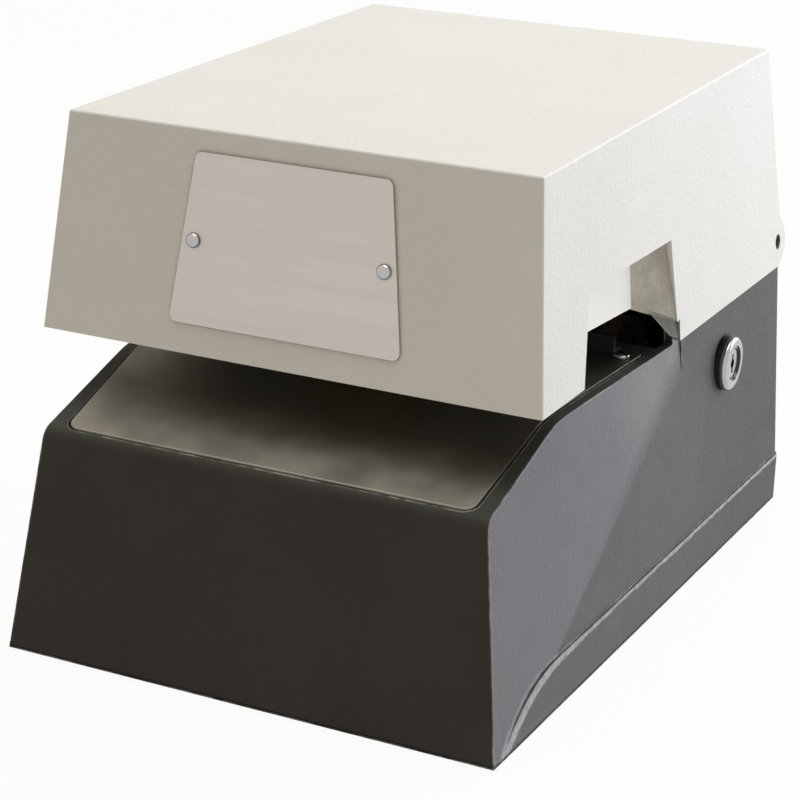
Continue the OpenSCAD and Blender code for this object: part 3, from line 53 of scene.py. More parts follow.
# The drawing's millimetres: y from the front foot of the base, z from its underside
def pt(x, y, z):
    return Vector((x, y - 129, z + 2)) * 0.001


def inDrawing(v):
    return Vector((v.x * 1000, v.y * 1000 + 129, v.z * 1000 - 2))


def clearSelection():
    if bpy.context.object and bpy.context.object.mode != "OBJECT":
        bpy.ops.object.mode_set(mode="OBJECT")
    bpy.ops.object.select_all(action="DESELECT")


def activate(obj):
    clearSelection()
    obj.select_set(True)
    bpy.context.view_layer.objects.active = obj


def editAll(obj):
    activate(obj)
    bpy.ops.object.mode_set(mode="EDIT")
    bpy.ops.mesh.select_all(action="SELECT")


def fixNormals(obj):
    editAll(obj)
    bpy.ops.mesh.normals_make_consistent(inside=False)
    bpy.ops.object.mode_set(mode="OBJECT")


# An outline drawn point by point on a filled circle, then extruded along reach
def extrudeOutline(name, corners, reach):
    clearSelection()
    bpy.ops.mesh.primitive_circle_add(vertices=len(corners), fill_type="NGON")
    obj = bpy.context.object
    obj.name = name
    for vertex, corner in zip(obj.data.vertices, corners):
        vertex.co = corner
    editAll(obj)
    bpy.ops.mesh.extrude_region_move(TRANSFORM_OT_translate={"value": reach})
    bpy.ops.object.mode_set(mode="OBJECT")
    fixNormals(obj)
    return obj


def sideProfile(name, points, x0, x1):
    return extrudeOutline(name, [pt(x0, y, z) for y, z in points], Vector((x1 - x0, 0, 0)) * 0.001)


def planProfile(name, points, z0, z1):
    return extrudeOutline(name, [pt(x, y, z0) for x, y in points], Vector((0, 0, z1 - z0)) * 0.001)


# From the nearer to the farther distance from the middle, on one side
def sideSpan(side, near, far):
    return sorted((side * near, side * far))


def block(name, low, high):
    a, b = pt(*low), pt(*high)
    clearSelection()
    bpy.ops.mesh.primitive_cube_add(size=1, location=(a + b) / 2, scale=b - a)
    bpy.context.object.name = name
    bpy.ops.object.transform_apply()
    return bpy.context.object


def rod(name, start, end, radius, sides=48):
    a, b = pt(*start), pt(*end)
    turn = (b - a).to_track_quat("Z", "Y").to_euler()
    clearSelection()
    bpy.ops.mesh.primitive_cylinder_add(
        vertices=sides, radius=radius / 1000, depth=(b - a).length, location=(a + b) / 2, rotation=turn)
    bpy.context.object.name = name
    bpy.ops.object.transform_apply()
    return bpy.context.object


# Opens the mesh for editing with only the faces that look one way selected
def pickFaces(obj, way):
    activate(obj)
    for item in (*obj.data.vertices, *obj.data.edges, *obj.data.polygons):
        item.select = False
    for face in obj.data.polygons:
        face.select = face.normal.dot(way) > 0.9
    bpy.ops.object.mode_set(mode="EDIT")
    bpy.ops.mesh.select_mode(type="FACE")


def rodAcross(name, x0, x1, y, z, radius, sides=48):
    return rod(name, (x0, y, z), (x1, y, z), radius, sides)


def rodUp(name, x, y, z0, z1, radius, sides=48):
    return rod(name, (x, y, z0), (x, y, z1), radius, sides)


# Cuts off what lies beyond a plane and closes the cut
def trim(obj, point, normal):
    editAll(obj)
    bpy.ops.mesh.bisect(plane_co=point, plane_no=normal, use_fill=True, clear_outer=True)
    bpy.ops.object.mode_set(mode="OBJECT")


# The plane's point and normal on one side, moved inwards by an inset
def planeOn(side, point, normal, inset):
    n = Vector((normal.x * side, normal.y, normal.z))
    return Vector((point.x * side, point.y, point.z)) - n * inset / 1000, n


def trimBothSides(obj, point, normal, inset=0):
    for side in (1, -1):
        trim(obj, *planeOn(side, point, normal, inset))


def combine(obj, other, operation):
    activate(obj)
    modifier = obj.modifiers.new("combine", "BOOLEAN")
    modifier.operation = operation
    modifier.solver = "EXACT"
    modifier.object = other
    bpy.ops.object.modifier_apply(modifier=modifier.name)
    bpy.data.objects.remove(other, do_unlink=True)
    return obj


def cutAway(obj, *others):
    for other in others:
        combine(obj, other, "DIFFERENCE")
    return obj


def joinOn(obj, *others):
    for other in others:
        combine(obj, other, "UNION")
    return obj


# Bevels the edges that test picks from their middle, direction and the normals on both sides
def roundEdges(obj, test, width, segments=3):
    activate(obj)
    mesh = obj.data
    normals = {}
    for face in mesh.polygons:
        for loop in face.loop_indices:
            normals.setdefault(mesh.loops[loop].edge_index, []).append(face.normal.copy())
    for item in list(mesh.vertices) + list(mesh.polygons):
        item.select = False
    for edge in mesh.edges:
        a, b = (mesh.vertices[i].co for i in edge.vertices)
        n = normals.get(edge.index, [])
        edge.select = len(n) == 2 and bool(test(inDrawing((a + b) / 2), (b - a).normalized(), n))
        if edge.select:
            for i in edge.vertices:
                mesh.vertices[i].select = True
    bpy.ops.object.mode_set(mode="EDIT")
    bpy.ops.mesh.select_mode(type="EDGE")
    bpy.ops.mesh.bevel(offset=width / 1000, segments=segments, profile=0.5, affect="EDGES", clamp_overlap=True)
    bpy.ops.object.mode_set(mode="OBJECT")
    return obj


def smooth(obj, angle=32):
    editAll(obj)
    bpy.ops.mesh.remove_doubles(threshold=0.000004)
    bpy.ops.mesh.dissolve_limited(angle_limit=math.radians(0.2))
    bpy.ops.object.mode_set(mode="OBJECT")
    bpy.ops.object.shade_smooth_by_angle(angle=math.radians(angle))
    modifier = obj.modifiers.new("weighted", "WEIGHTED_NORMAL")
    modifier.keep_sharp = True
    modifier.weight = 80
    bpy.ops.object.modifier_apply(modifier=modifier.name)
    return obj


def insetOutline(points, d):
    moved = []
    for i, p in enumerate(points):
        a, b = Vector(points[i - 1]), Vector(points[(i + 1) % len(points)])
        p = Vector(p)
        n1 = Vector((a.y - p.y, p.x - a.x)).normalized()
        n2 = Vector((p.y - b.y, b.x - p.x)).normalized()
        moved.append(tuple(p + (n1 + n2) * d / (1 + n1.dot(n2))))
    return moved


def roundedOutline(points, r, steps=6):
    rounded = []
    for i, p in enumerate(points):
        a, b, p = Vector(points[i - 1]), Vector(points[(i + 1) % len(points)]), Vector(p)
        n1 = Vector((a.y - p.y, p.x - a.x)).normalized()
        n2 = Vector((p.y - b.y, b.x - p.x)).normalized()
        c = p + (n1 + n2) * r / (1 + n1.dot(n2))
        start = math.atan2(-n1.y, -n1.x)
        turn = (math.atan2(-n2.y, -n2.x) - start) % (2 * math.pi)
        for k in range(steps + 1):
            angle = start + turn * k / steps
            rounded.append((c.x + r * math.cos(angle), c.y + r * math.sin(angle)))
    return rounded


# Outward normal of a side face that leans in and turns forwards, in degrees
def leaningNormal(lean, yaw=0):
    lean, yaw = math.radians(lean), math.radians(yaw)
    return Vector((math.cos(yaw) * math.cos(lean), math.sin(yaw) * math.cos(lean), math.sin(lean)))


# Base housing: sloped front, leaning walls, skirt round the foot
base = {
    "halfWidth": 85, "length": 258, "wall": 3, "frontTop": (8.5, 73), "shoulder": 57.5, "deck": 88.5,
    "deckEnd": 141, "raisedTop": 100, "shelf": 91, "ridge": (245, 95.5), "skirt": 17.5, "skirtStep": 0.7,
    "skirtCurve": 57, "skirtStart": 46, "sideLean": 3.85, "flareLean": 7.25, "flareYaw": -1.9, "flareTop": 76,
    "flareEnd": 154, "frontRound": 3, "shoulderRound": 6, "edgeRound": 1.2, "skirtRound": 0.8, "rearRound": 3.5,
    "bossX": 73.8, "bossY": (24, 236), "hinge": (239.5, 103), "earRadius": 8.2,
}
panel = {
    "y": 253, "z": 44, "width": 124, "height": 36, "rim": 3, "inletX": -36, "inlet": (28, 20),
    "rockerX": 12, "rocker": (13, 19), "fuseX": 42, "fuseRadius": 6,
}
throat = {
    "frontY": 11.2, "backY": 135, "frontHalf": 70, "backHalf": 74.5, "round": 4, "up": 0.4, "sink": 0.8,
    "gap": 0.3, "dieY": 85, "dieHole": 21.5, "slotX": -48, "slotHalf": 3.5, "slotY": 117,
    "screw": (69.5, 125), "stopScrew": (61, 131.6),
}
lock = {"y": 196.4, "z": 69.3, "bodyRadius": 8, "headRadius": 9.5, "headHeight": 4, "plugRadius": 5.5,
        "innerX": 64, "shadowRing": 1.5}


# Half width of the walls at a height
def wallX(z):
    leanIn = (z - base["skirt"]) * math.tan(math.radians(base["sideLean"]))
    return base["halfWidth"] - base["skirtStep"] - leanIn


base["lugX"] = wallX(base["hinge"][1] + base["earRadius"]) - 0.6
lock["faceX"] = wallX(lock["z"])

baseOutline = [
    (0, 0), (base["length"], 0), (base["length"], base["shelf"]), (base["length"] - 9, base["shelf"]),
    (base["length"] - 10.5, base["ridge"][1]), base["ridge"], (base["ridge"][0] - 3, base["raisedTop"]),
    (base["deckEnd"] + 9, base["raisedTop"]), (base["deckEnd"] + 7, base["deck"]),
    (base["shoulder"], base["deck"]), base["frontTop"],
]
wallNormal = leaningNormal(base["sideLean"])
wallPoint = pt(base["halfWidth"] - base["skirtStep"], 0, base["skirt"])
flareNormal = leaningNormal(base["flareLean"], base["flareYaw"])
flarePoint = pt(base["flareTop"], *base["frontTop"])


# The walls lean in; from the front to their end the finger flares are cut deeper
def trimBaseSides(obj, inset=0):
    trimBothSides(obj, wallPoint, wallNormal, inset)
    for side in (1, -1):
        x0, x1 = sideSpan(side, 50, 120)
        flare = block("flareCut", (x0, -20, -20), (x1, base["flareEnd"] + inset, 150))
        point, normal = planeOn(side, flarePoint, flareNormal, inset)
        trim(flare, point, -normal)
        cutAway(obj, flare)


def slopeZ(y):
    front, top = base["frontTop"]
    return min(base["deck"], top + (y - front) * (base["deck"] - top) / (base["shoulder"] - front))


def facesSide(normal):
    return abs(normal.x) > 0.8


# Edges between a side face and another, other than those that run across the machine
def boundsSide(way, n):
    return facesSide(n[0]) != facesSide(n[1]) and abs(way.x) < 0.6


def makeBase():
    half, wall, deck = base["halfWidth"], base["wall"], base["deck"]
    body = sideProfile("baseHousing", baseOutline, -half, half)
    trimBaseSides(body)
    front, top = base["frontTop"]
    shoulder, rear = base["shoulder"], base["length"] - 3
    roundEdges(body, lambda m, way, n: abs(way.x) > 0.9 and abs(m.y - front) < 0.5 and abs(m.z - top) < 0.5,
               base["frontRound"], 7)
    roundEdges(body, lambda m, way, n: abs(way.x) > 0.9 and abs(m.y - shoulder) < 0.5 and m.z > deck - 1,
               base["shoulderRound"], 5)
    roundEdges(body, lambda m, way, n: abs(way.z) > 0.9 and m.y > rear, base["rearRound"], 5)
    roundEdges(body, lambda m, way, n: boundsSide(way, n) and m.z > 1 and m.y < 250, base["edgeRound"], 3)

    # the skirt runs out in a curve towards the front corners
    start, radius, height = base["skirtStart"], base["skirtCurve"], base["skirt"]
    sweep = math.acos(1 - (height - 2) / radius)
    curve = [(start - radius * math.sin(sweep * k / 12), height - radius * (1 - math.cos(sweep * k / 12)))
             for k in range(13)]
    ends = [(0, 0), (base["length"], 0), (base["length"], height)]
    skirt = sideProfile("skirt", ends + curve + [(0.4, 2)], -half, half)
    roundEdges(skirt, lambda m, way, n: abs(way.z) > 0.9 and m.y > rear, base["rearRound"], 5)
    roundEdges(skirt, lambda m, way, n: m.z > 1 and boundsSide(way, n), base["skirtRound"], 3)
    joinOn(body, skirt)

    # hollow: the room under the deck, the open foot and the opening between the raised walls
    core = sideProfile("core", insetOutline(baseOutline, wall), -half, half)
    foot = block("foot", (-half, wall + 0.6, -1), (half, base["length"] - wall, wall + 1))
    well = block("well", (-half, base["deckEnd"], deck - wall - 1), (half, base["ridge"][0], 130))
    # known fault: core lies wholly inside the body, and in many runs the solver leaves the body uncut there
    for cutter in (core, foot, well):
        trimBaseSides(cutter, wall)
        cutAway(body, cutter)

    # screw bosses, hinge lugs and the pad of the rear panel
    hy, hz = base["hinge"]
    ear, lugX = base["earRadius"], base["lugX"]
    w, h, rim, y, z = panel["width"] / 2, panel["height"] / 2, panel["rim"], panel["y"], panel["z"]
    joinOn(body, block("pad", (-w - rim, y - wall, z - h - rim), (w + rim, y + 4, z + h + rim)))
    for side in (1, -1):
        for bossY in base["bossY"]:
            joinOn(body, rodUp("boss", side * base["bossX"], bossY, 5, 29, 7.5))
        x0, x1 = side * (lugX - 4), side * lugX
        lug = rodAcross("lug", x0, x1, hy, hz, ear - 1)
        plate = sideProfile("lugPlate", [
            (hy - ear - 4, 84), (hy + ear, 84), (hy + ear - 1, hz), (hy - ear + 1, hz)], x0, x1)
        joinOn(body, joinOn(lug, plate))

    # seat of the throat plate, with the holes under it
    cutAway(body, throatForm("seat", throat["gap"], 4))
    cutAway(body, rodUp("dieHole", 0, throat["dieY"], 80, 100, throat["dieHole"], 96))
    cutAway(body, triggerSlot(130, 84, 92))
    for side in (1, -1):
        for x, screwY in (throat["screw"], throat["stopScrew"]):
            cutAway(body, rodUp("screwHole", side * x, screwY, 80, 92, 1.5, 24))
        for bossY in base["bossY"]:
            cutAway(body, rodUp("bossHole", side * base["bossX"], bossY, 3, 23, 2, 24))
        cutAway(body, rodAcross("pinHole", side * 70, side * 84, hy, hz, 2.6, 32))
        cutAway(body, rodAcross("earRoom", side * lugX, side * 90, hy, hz, ear + 0.5, 64))

    # rear panel: recess, inlet, switch and fuse cut-outs
    recess = block("recess", (-w, y, z - h), (w, 260, z + h))
    cutAway(body, roundEdges(recess, lambda m, way, n: abs(way.y) > 0.9, 3, 5))
    for x, (cutWide, cutHigh) in ((panel["inletX"], panel["inlet"]), (panel["rockerX"], panel["rocker"])):
        dx, dz = cutWide / 2, cutHigh / 2
        cutAway(body, block("cutOut", (x - dx, y - 6, z - dz), (x + dx, y + 1, z + dz)))
    cutAway(body, rod("fuseHole", (panel["fuseX"], y - 6, z), (panel["fuseX"], y + 1, z), panel["fuseRadius"]))

    # hole of the lock, with a flat seat for its head
    cutAway(body, rodAcross("lockHole", 60, 90, lock["y"], lock["z"], lock["bodyRadius"] + 0.1))
    cutAway(body, rodAcross("lockSeat", lock["faceX"], 90, lock["y"], lock["z"], lock["headRadius"] + 0.3))
    smooth(body)
    return body


def triggerSlot(y1, z0, z1):
    x, half = throat["slotX"], throat["slotHalf"]
    return block("triggerSlot", (x - half, throat["slotY"], z0), (x + half, y1, z1))


# Outline of the throat plate carried onto the slope and deck, grown by a gap
def throatForm(name, gap, above):
    f, b = throat["frontY"] - gap, throat["backY"] + gap
    fw, bw = throat["frontHalf"] + gap, throat["backHalf"] + gap
    low, deck, bend = throat["sink"], base["deck"], base["shoulder"]
    form = sideProfile(name, [
        (f, slopeZ(f) - low), (bend - 3, slopeZ(bend - 3) - low), (bend + 3, deck - low),
        (b, deck - low), (b, deck + above),
        (bend + 3, deck + above), (bend - 3, slopeZ(bend - 3) + above), (f, slopeZ(f) + above)], -80, 80)
    outline = roundedOutline([(-fw, f), (fw, f), (bw, b), (-bw, b)], throat["round"] + gap, 8)
    return combine(form, planProfile("plan", outline, 60, 110), "INTERSECT")


baseHousing = makeBase()
print("base housing modelled:", len(baseHousing.data.polygons), "faces")


# Cover: leaning shell with a notch and a pressed-in finger pocket on each side
cover = {
    "halfWidth": 85.3, "y": 22.6, "z": 101.2, "wall": 2.5, "topZ": 170.2, "rearTop": (231.5, 173.4),
    "frontLean": 5.7, "sideLean": 5.1, "sideYaw": 0.43, "skirtZ": 94, "notch": (54.6, 137),
    "notchHeight": 28.8, "notchLean": 6.3, "pocketY": 117, "pocketDepth": 9, "pocketWall": 1.5,
    "pocketLip": 8.2, "pocketBack": 2.4, "round": 1.9,
}
coverNormal = leaningNormal(cover["sideLean"], cover["sideYaw"])
coverPoint = pt(cover["halfWidth"], cover["y"], cover["z"])
frontRise = math.tan(math.radians(cover["frontLean"]))
coverFrontTop = cover["y"] + (cover["topZ"] - cover["z"]) * frontRise


# Place on the cover's right side: out from its face, back along it, up along it
def onSide(out, back, up, side=1):
    lean, yaw = math.radians(cover["sideLean"]), math.radians(cover["sideYaw"])
    place = Matrix.Rotation(yaw, 3, "Z") @ Matrix.Rotation(-lean, 3, "Y") @ Vector((out, back, up))
    place += Vector((cover["halfWidth"], cover["y"], cover["z"]))
    return pt(place.x * side, place.y, place.z)


# Direction on that side, in metres
def sideWay(out, back, up, side=1):
    return onSide(out, back, up, side) - onSide(0, 0, 0, side)


def sidePanel(name, points, out0, out1, side):
    corners = [onSide(out0, u, v, side) for u, v in points]
    return extrudeOutline(name, corners, sideWay(out1 - out0, 0, 0, side))


def sideColumn(name, points, up0, up1, side):
    corners = [onSide(out, u, up0, side) for out, u in points]
    return extrudeOutline(name, corners, sideWay(0, 0, up1 - up0, side))


# Pressed sheet of the finger pocket: two flaps that meet in a valley, closed on top
def makePocket(side):
    u0, u1 = cover["notch"][0] - cover["y"] + 2.5, cover["notch"][1] - cover["y"] - cover["pocketBack"]
    valley, depth, lip = cover["pocketY"] - cover["y"], cover["pocketDepth"], cover["pocketLip"]
    t, v, skin = cover["pocketWall"], cover["notchHeight"], -0.06
    flaps = sideColumn("flaps", [
        (skin, u0), (-depth, valley), (skin, u1), (skin, u1 + 2), (-t - 0.6, u1 + 2), (-depth - 2.2, valley),
        (-t - 0.6, u0 - 3), (-0.2, u0 - 3)], -12, v + t, side)
    combine(flaps, sidePanel("lowerEdge", [
        (u0 - 4, 17.4), (u0, 16.8), (valley, lip), (u1, 0), (u1 + 6, -2.5), (u1 + 6, v + 3), (u0 - 4, v + 3)],
        -20, 2, side), "INTERSECT")
    combine(flaps, sidePanel("outerEdge", [
        (u0 - 4, -12), (u1 + 1.6, -12), (u1 + 1.6, 0.6), (u1 - 3, v + t), (u0 - 4 + cover["notchLean"], v + t),
        (u0 - 4, 0)], -20, 2, side), "INTERSECT")
    joinOn(flaps, sideColumn("roof", [
        (-1.4, u0 + 0.6), (-1.4, u1 + 0.5), (-depth - 1.6, valley)], v - 0.6, v + t - 0.08, side))
    # rear flap turned under towards the corner of the skirt
    high = Vector((-depth * 11 / (u1 - valley) - 0.3, u1 - 11, lip * 11 / (u1 - valley) + 0.7))
    near, foot = Vector((-0.9, u1 - 0.7, 1.1)), Vector((-0.45, u1 + 1.7, -6.2))
    tuck = extrudeOutline("tuck", [onSide(*p, side) for p in (high, near, foot, foot - (near - high) * 0.32)],
                          sideWay(-1.1, 0.9, 0.7, side))
    return joinOn(flaps, tuck)


def makeCover():
    y, z, wall, hy, hz = cover["y"], cover["z"], cover["wall"], *base["hinge"]
    ear, lugX, rear = base["earRadius"], base["lugX"], cover["rearTop"]
    # the rear wall's line leaves the ear's circle where the two meet
    tilt = math.atan2(hy + 4 - rear[0], rear[1] - hz)
    last = math.acos(4 * math.cos(tilt) / ear) + tilt
    lobe = [(hy + ear * math.cos(a), hz + ear * math.sin(a))
            for a in (math.radians(-80) + (last - math.radians(-80)) * k / 24 for k in range(25))]
    notchEnd, skirtZ = cover["notch"][1], cover["skirtZ"]
    shell = sideProfile("coverShell", [
        (y, z), (notchEnd, z), (notchEnd, skirtZ), (hy - 1, skirtZ)] + lobe + [
        rear, (coverFrontTop, cover["topZ"])], -100, 100)
    trimBothSides(shell, coverPoint, coverNormal)
    # top, front and rear edges are turned over a radius, the lower rim is nearly sharp
    roundEdges(shell, lambda m, way, n: m.z > z + 2 and not (m.z < hz + 8 and m.y > 225) and
               (facesSide(n[0]) != facesSide(n[1]) or (abs(way.x) > 0.9 and m.z > 150)), cover["round"], 5)
    core = sideProfile("core", insetOutline([
        (y - 60 * frontRise, z - 60), (hy + 4, z - 60), (hy + 4, hz), rear, (coverFrontTop, cover["topZ"])],
        wall), -100, 100)
    trimBothSides(core, coverPoint, coverNormal, wall)
    cutAway(shell, core)
    # between the ears only the straight rear wall is left
    between = sideProfile("between", [
        (hy, skirtZ - 1), (hy + 20, skirtZ - 1), (hy + 20, hz + 12),
        (hy + 4.05 - 12 * math.tan(tilt), hz + 12), (hy + 4.05, hz), (hy + 0.05, skirtZ)],
        -lugX - 0.3, lugX + 0.3)
    cutAway(shell, between)
    cutAway(shell, block("ridgeRoom", (-lugX - 0.3, hy - 8, 0), (lugX + 0.3, hy + 20, base["ridge"][1] + 1)))
    u0, u1, v, drop = cover["notch"][0] - y, notchEnd - y, cover["notchHeight"], z - skirtZ
    for side in (1, -1):
        cutAway(shell, sidePanel("notch", [
            (u0 - 0.4, -2), (u1 + 0.4, -drop - 2), (u1, -drop), (u1 - 2.6, 0.5), (u1 - 6.6, v - 1),
            (u0 + cover["notchLean"], v)], -wall - 6, 6, side))
        joinOn(shell, makePocket(side))
        joinOn(shell, rodAcross("earBoss", side * (lugX + 0.45), side * 82.2, hy, hz, ear - 0.13, 90))
    for side in (1, -1):
        cutAway(shell, rodAcross("pinHole", side * 70, side * 90, hy, hz, 2.65, 32))
        x0, x1 = sideSpan(side, lugX - 7, lugX + 0.3)
        cutAway(shell, block("lugRoom", (x0, hy - 9.2, 0), (x1, hy + 9.2, hz + 9.2)))
    for side in (1, -1):
        rivetX, rivetUp = side * plateValues["rivetX"], plateValues["rivetUp"]
        cutAway(shell, faceRod("rivetHole", rivetX, rivetUp, -8, 8, 1.2, 24))
    smooth(shell)
    return shell


# Nameplate with its rivets, on the cover's front
plateValues = {
    "topHalf": 32.9, "bottomHalf": 39.5, "low": 9.5, "height": 53, "thick": 0.8, "round": 2.5,
    "edgeRound": 0.25, "rivetX": 32.2, "rivetUp": 35.4, "rivetRadius": 2.4, "rivetHeight": 1.75,
    "rivetRim": 0.2,
}


# Place on the cover's front: across, up along it, out from its face
def onFront(across, up, out):
    lean = math.radians(cover["frontLean"])
    return pt(across, cover["y"] + up * math.sin(lean) - out * math.cos(lean),
              cover["z"] + up * math.cos(lean) + out * math.sin(lean))


def faceRod(name, across, up, out0, out1, radius, sides=32):
    a, b = inDrawing(onFront(across, up, out0)), inDrawing(onFront(across, up, out1))
    return rod(name, a, b, radius, sides)


def makeNameplate():
    p = plateValues
    low, high, foot, top = p["low"], p["low"] + p["height"], p["bottomHalf"], p["topHalf"]
    outline = roundedOutline([(-foot, low), (foot, low), (top, high), (-top, high)], p["round"], 8)
    plate = extrudeOutline("nameplateSheet", [onFront(x, up, 0) for x, up in outline],
                           onFront(0, 0, p["thick"]) - onFront(0, 0, 0))
    outward = (onFront(0, 0, 1) - onFront(0, 0, 0)).normalized()
    roundEdges(plate, lambda m, way, n: max(n[0].dot(outward), n[1].dot(outward)) > 0.9, p["edgeRound"], 2)
    for side in (1, -1):
        cutAway(plate, faceRod("hole", side * p["rivetX"], p["rivetUp"], -1, 2, 1.2, 24))
    return smooth(plate)


# One domed rivet: a short cylinder whose top face is drawn in and raised along a quarter ellipse
def makeRivet(name, side):
    p, steps = plateValues, 9
    x, up, rim, foot = side * p["rivetX"], p["rivetUp"], p["rivetRim"], p["thick"]
    rivet = faceRod(name, x, up, foot, foot + rim, p["rivetRadius"], 40)
    outward = (onFront(0, 0, 1) - onFront(0, 0, 0)).normalized()
    pickFaces(rivet, outward)
    for k in range(steps):
        low, high = (0.5 * math.pi * (k + j) / (steps + 0.6) for j in (0, 1))
        rise = (math.sin(high) - math.sin(low)) * (p["rivetHeight"] - rim)
        scale = math.cos(high) / math.cos(low)
        centre = onFront(x, up, foot + rim + math.sin(high) * (p["rivetHeight"] - rim))
        bpy.ops.mesh.extrude_region_move(TRANSFORM_OT_translate={"value": outward * rise / 1000})
        bpy.ops.transform.resize(value=(scale, scale, scale), center_override=centre)
    bpy.ops.object.mode_set(mode="OBJECT")
    joinOn(rivet, faceRod("stem", x, up, -cover["wall"], foot + rim, 1.18, 24))
    return smooth(rivet, 40)


coverShell = makeCover()
print("cover modelled:", len(coverShell.data.polygons), "faces")
nameplateSheet = makeNameplate()
rivets = [makeRivet("plateRivetRight", 1), makeRivet("plateRivetLeft", -1)]
print("nameplate and rivets modelled")


# Throat plate: satin sheet that follows the slope onto the deck
def makeThroatPlate():
    plate = throatForm("throatSheet", -0.4, throat["up"])
    roundEdges(plate, lambda m, way, n: max(n[0].z, n[1].z) > 0.85 and min(n[0].z, n[1].z) < 0.5, 0.22, 2)
    cutAway(plate, rodUp("dieHole", 0, throat["dieY"], 80, 100, throat["dieHole"], 96))
    cutAway(plate, triggerSlot(140, 80, 100))
    for side in (1, -1):
        for x, y in (throat["screw"], throat["stopScrew"]):
            cutAway(plate, rodUp("screwHole", side * x, y, 80, 100, 1.6, 24))
    return smooth(plate)


throatSheet = makeThroatPlate()
print("throat plate modelled")


# Lock in the base's right side: chrome collar, turning plug with its key slot
def makeLockBody():
    y, z, x, r, h = lock["y"], lock["z"], lock["faceX"], lock["headRadius"], lock["headHeight"]
    body = rodAcross("lockCollar", x + lock["shadowRing"], x + h, y, z, r, 72)
    roundEdges(body, lambda m, way, n: m.x > x + h - 0.2, 1.3, 6)
    roundEdges(body, lambda m, way, n: m.x < x + lock["shadowRing"] + 0.1, 0.3, 2)
    joinOn(body, rodAcross("sleeve", lock["innerX"], x + lock["shadowRing"] + 0.5, y, z, lock["bodyRadius"], 64))
    cutAway(body, rodAcross("plugHole", 50, 100, y, z, lock["plugRadius"] + 0.05, 64))
    cutAway(body, rodAcross("dish", x + h - 0.5, x + h + 1, y, z, lock["plugRadius"] + 0.9, 64))
    return smooth(body, 30)


# Black ring between the collar and the wall: a painted shadow of the collar
def makeLockShadowRing():
    y, z, x = lock["y"], lock["z"], lock["faceX"]
    ring = rodAcross("lockShadowRing", x + 0.05, x + lock["shadowRing"] - 0.03, y, z, lock["headRadius"] - 0.05, 72)
    cutAway(ring, rodAcross("shadowRingHole", x - 1, x + 5, y, z, lock["bodyRadius"] + 0.05, 64))
    return smooth(ring, 30)


def makeLockPlug():
    y, z, x, h, r = lock["y"], lock["z"], lock["faceX"], lock["headHeight"], lock["plugRadius"]
    plug = rodAcross("lockCore", lock["innerX"] - 3.6, x + h - 0.8, y, z, r, 64)
    roundEdges(plug, lambda m, way, n: m.x > x + h - 1, 0.35, 3)
    cutAway(plug, block("keySlot", (x + h - 5, y - 0.7, z - 3.4), (x + h, y + 0.7, z + 3.4)))
    cutAway(plug, rodAcross("keyHole", x + h - 5, x + h, y, z, 1.7, 32))
    return smooth(plug, 30)


lockCollar = makeLockBody()
lockShadowRing = makeLockShadowRing()
lockCore = makeLockPlug()
print("lock modelled")


# Screws of the throat plate: pan heads with a slot
screwValues = {"thread": 1.45, "head": 2.76, "rim": 1.0, "rise": 0.85, "slotWide": 0.7, "slotDeep": 0.9}


def makePanScrew(name, x, y, z, length, turn):
    s = screwValues
    screw = rodUp(name, x, y, z, z + s["rim"], s["head"], 40)
    pickFaces(screw, Vector((0, 0, 1)))
    for scale, rise in ((0.93, 0.38), (0.85, 0.27), (0.7, 0.16), (0.4, 0.04)):
        bpy.ops.mesh.extrude_region_move(TRANSFORM_OT_translate={"value": (0, 0, rise * s["rise"] / 1000)})
        bpy.ops.transform.resize(value=(scale, scale, 1), center_override=pt(x, y, z))
    bpy.ops.object.mode_set(mode="OBJECT")
    joinOn(screw, rodUp("thread", x, y, z - length, z + 0.3, s["thread"], 24))
    slot = block("slot", (x - 5, y - s["slotWide"] / 2, z + s["rim"] + s["rise"] - s["slotDeep"]),
                 (x + 5, y + s["slotWide"] / 2, z + 6))
    activate(slot)
    bpy.ops.transform.rotate(value=math.radians(turn), orient_axis="Z", center_override=pt(x, y, z))
    bpy.ops.object.transform_apply()
    cutAway(screw, slot)
    return smooth(screw, 35)


def makeThroatScrews():
    x, y = throat["screw"]
    z = base["deck"] + throat["up"]
    return [makePanScrew("throatScrewRight", x, y, z, 6, 25), makePanScrew("throatScrewLeft", -x, y, z, 6, -50)]


throatScrews = makeThroatScrews()
print("screws modelled")


# Return spring: one wire with an eye round each rod; on the machine it stretches with the press arm, here it is
# built in one fixed shape
spring = {"x": 20, "y": 183.917, "lowZ": 30, "highZ": 111.483, "eye": 3.1, "coil": 4, "wire": 0.8, "turns": 14}


def makeSpring():
    x, y, low, high, r, turns = (spring[k] for k in ("x", "y", "lowZ", "highZ", "eye", "turns"))
    gap, steps = math.radians(20), turns * 20
    eye = [(2 * math.pi - gap) * k / 24 for k in range(25)]
    points = [(x, y - r * math.sin(a), low + r * math.cos(a)) for a in reversed(eye)]
    for k in range(1, steps):
        # the coil opens from its axis over the first half turn and closes over the last
        angle, share = 2 * math.pi * turns * k / steps, k / steps
        out = spring["coil"] * min(1, 2 * turns * share, 2 * turns * (1 - share))
        points.append((x + out * math.cos(angle), y + out * math.sin(angle),
                       low + r + (high - low - 2 * r) * share))
    points += [(x, y + r * math.sin(a), high - r * math.cos(a)) for a in eye]
    clearSelection()
    bpy.ops.curve.primitive_nurbs_path_add(location=(0, 0, 0))
    curve = bpy.context.object
    curve.name = "springWire"
    curve.data.splines.clear()
    wire = curve.data.splines.new("POLY")
    wire.points.add(len(points) - 1)
    for place, point in zip(wire.points, points):
        place.co = (*pt(*point), 1)
    curve.data.bevel_depth = spring["wire"] / 1000
    curve.data.bevel_resolution = 2
    curve.data.use_fill_caps = True
    bpy.ops.object.convert(target="MESH")
    fixNormals(bpy.context.object)
    bpy.ops.object.shade_smooth_by_angle(angle=math.radians(50))
    return bpy.context.object


springWire = makeSpring()
print("spring modelled:", len(springWire.data.polygons), "faces")


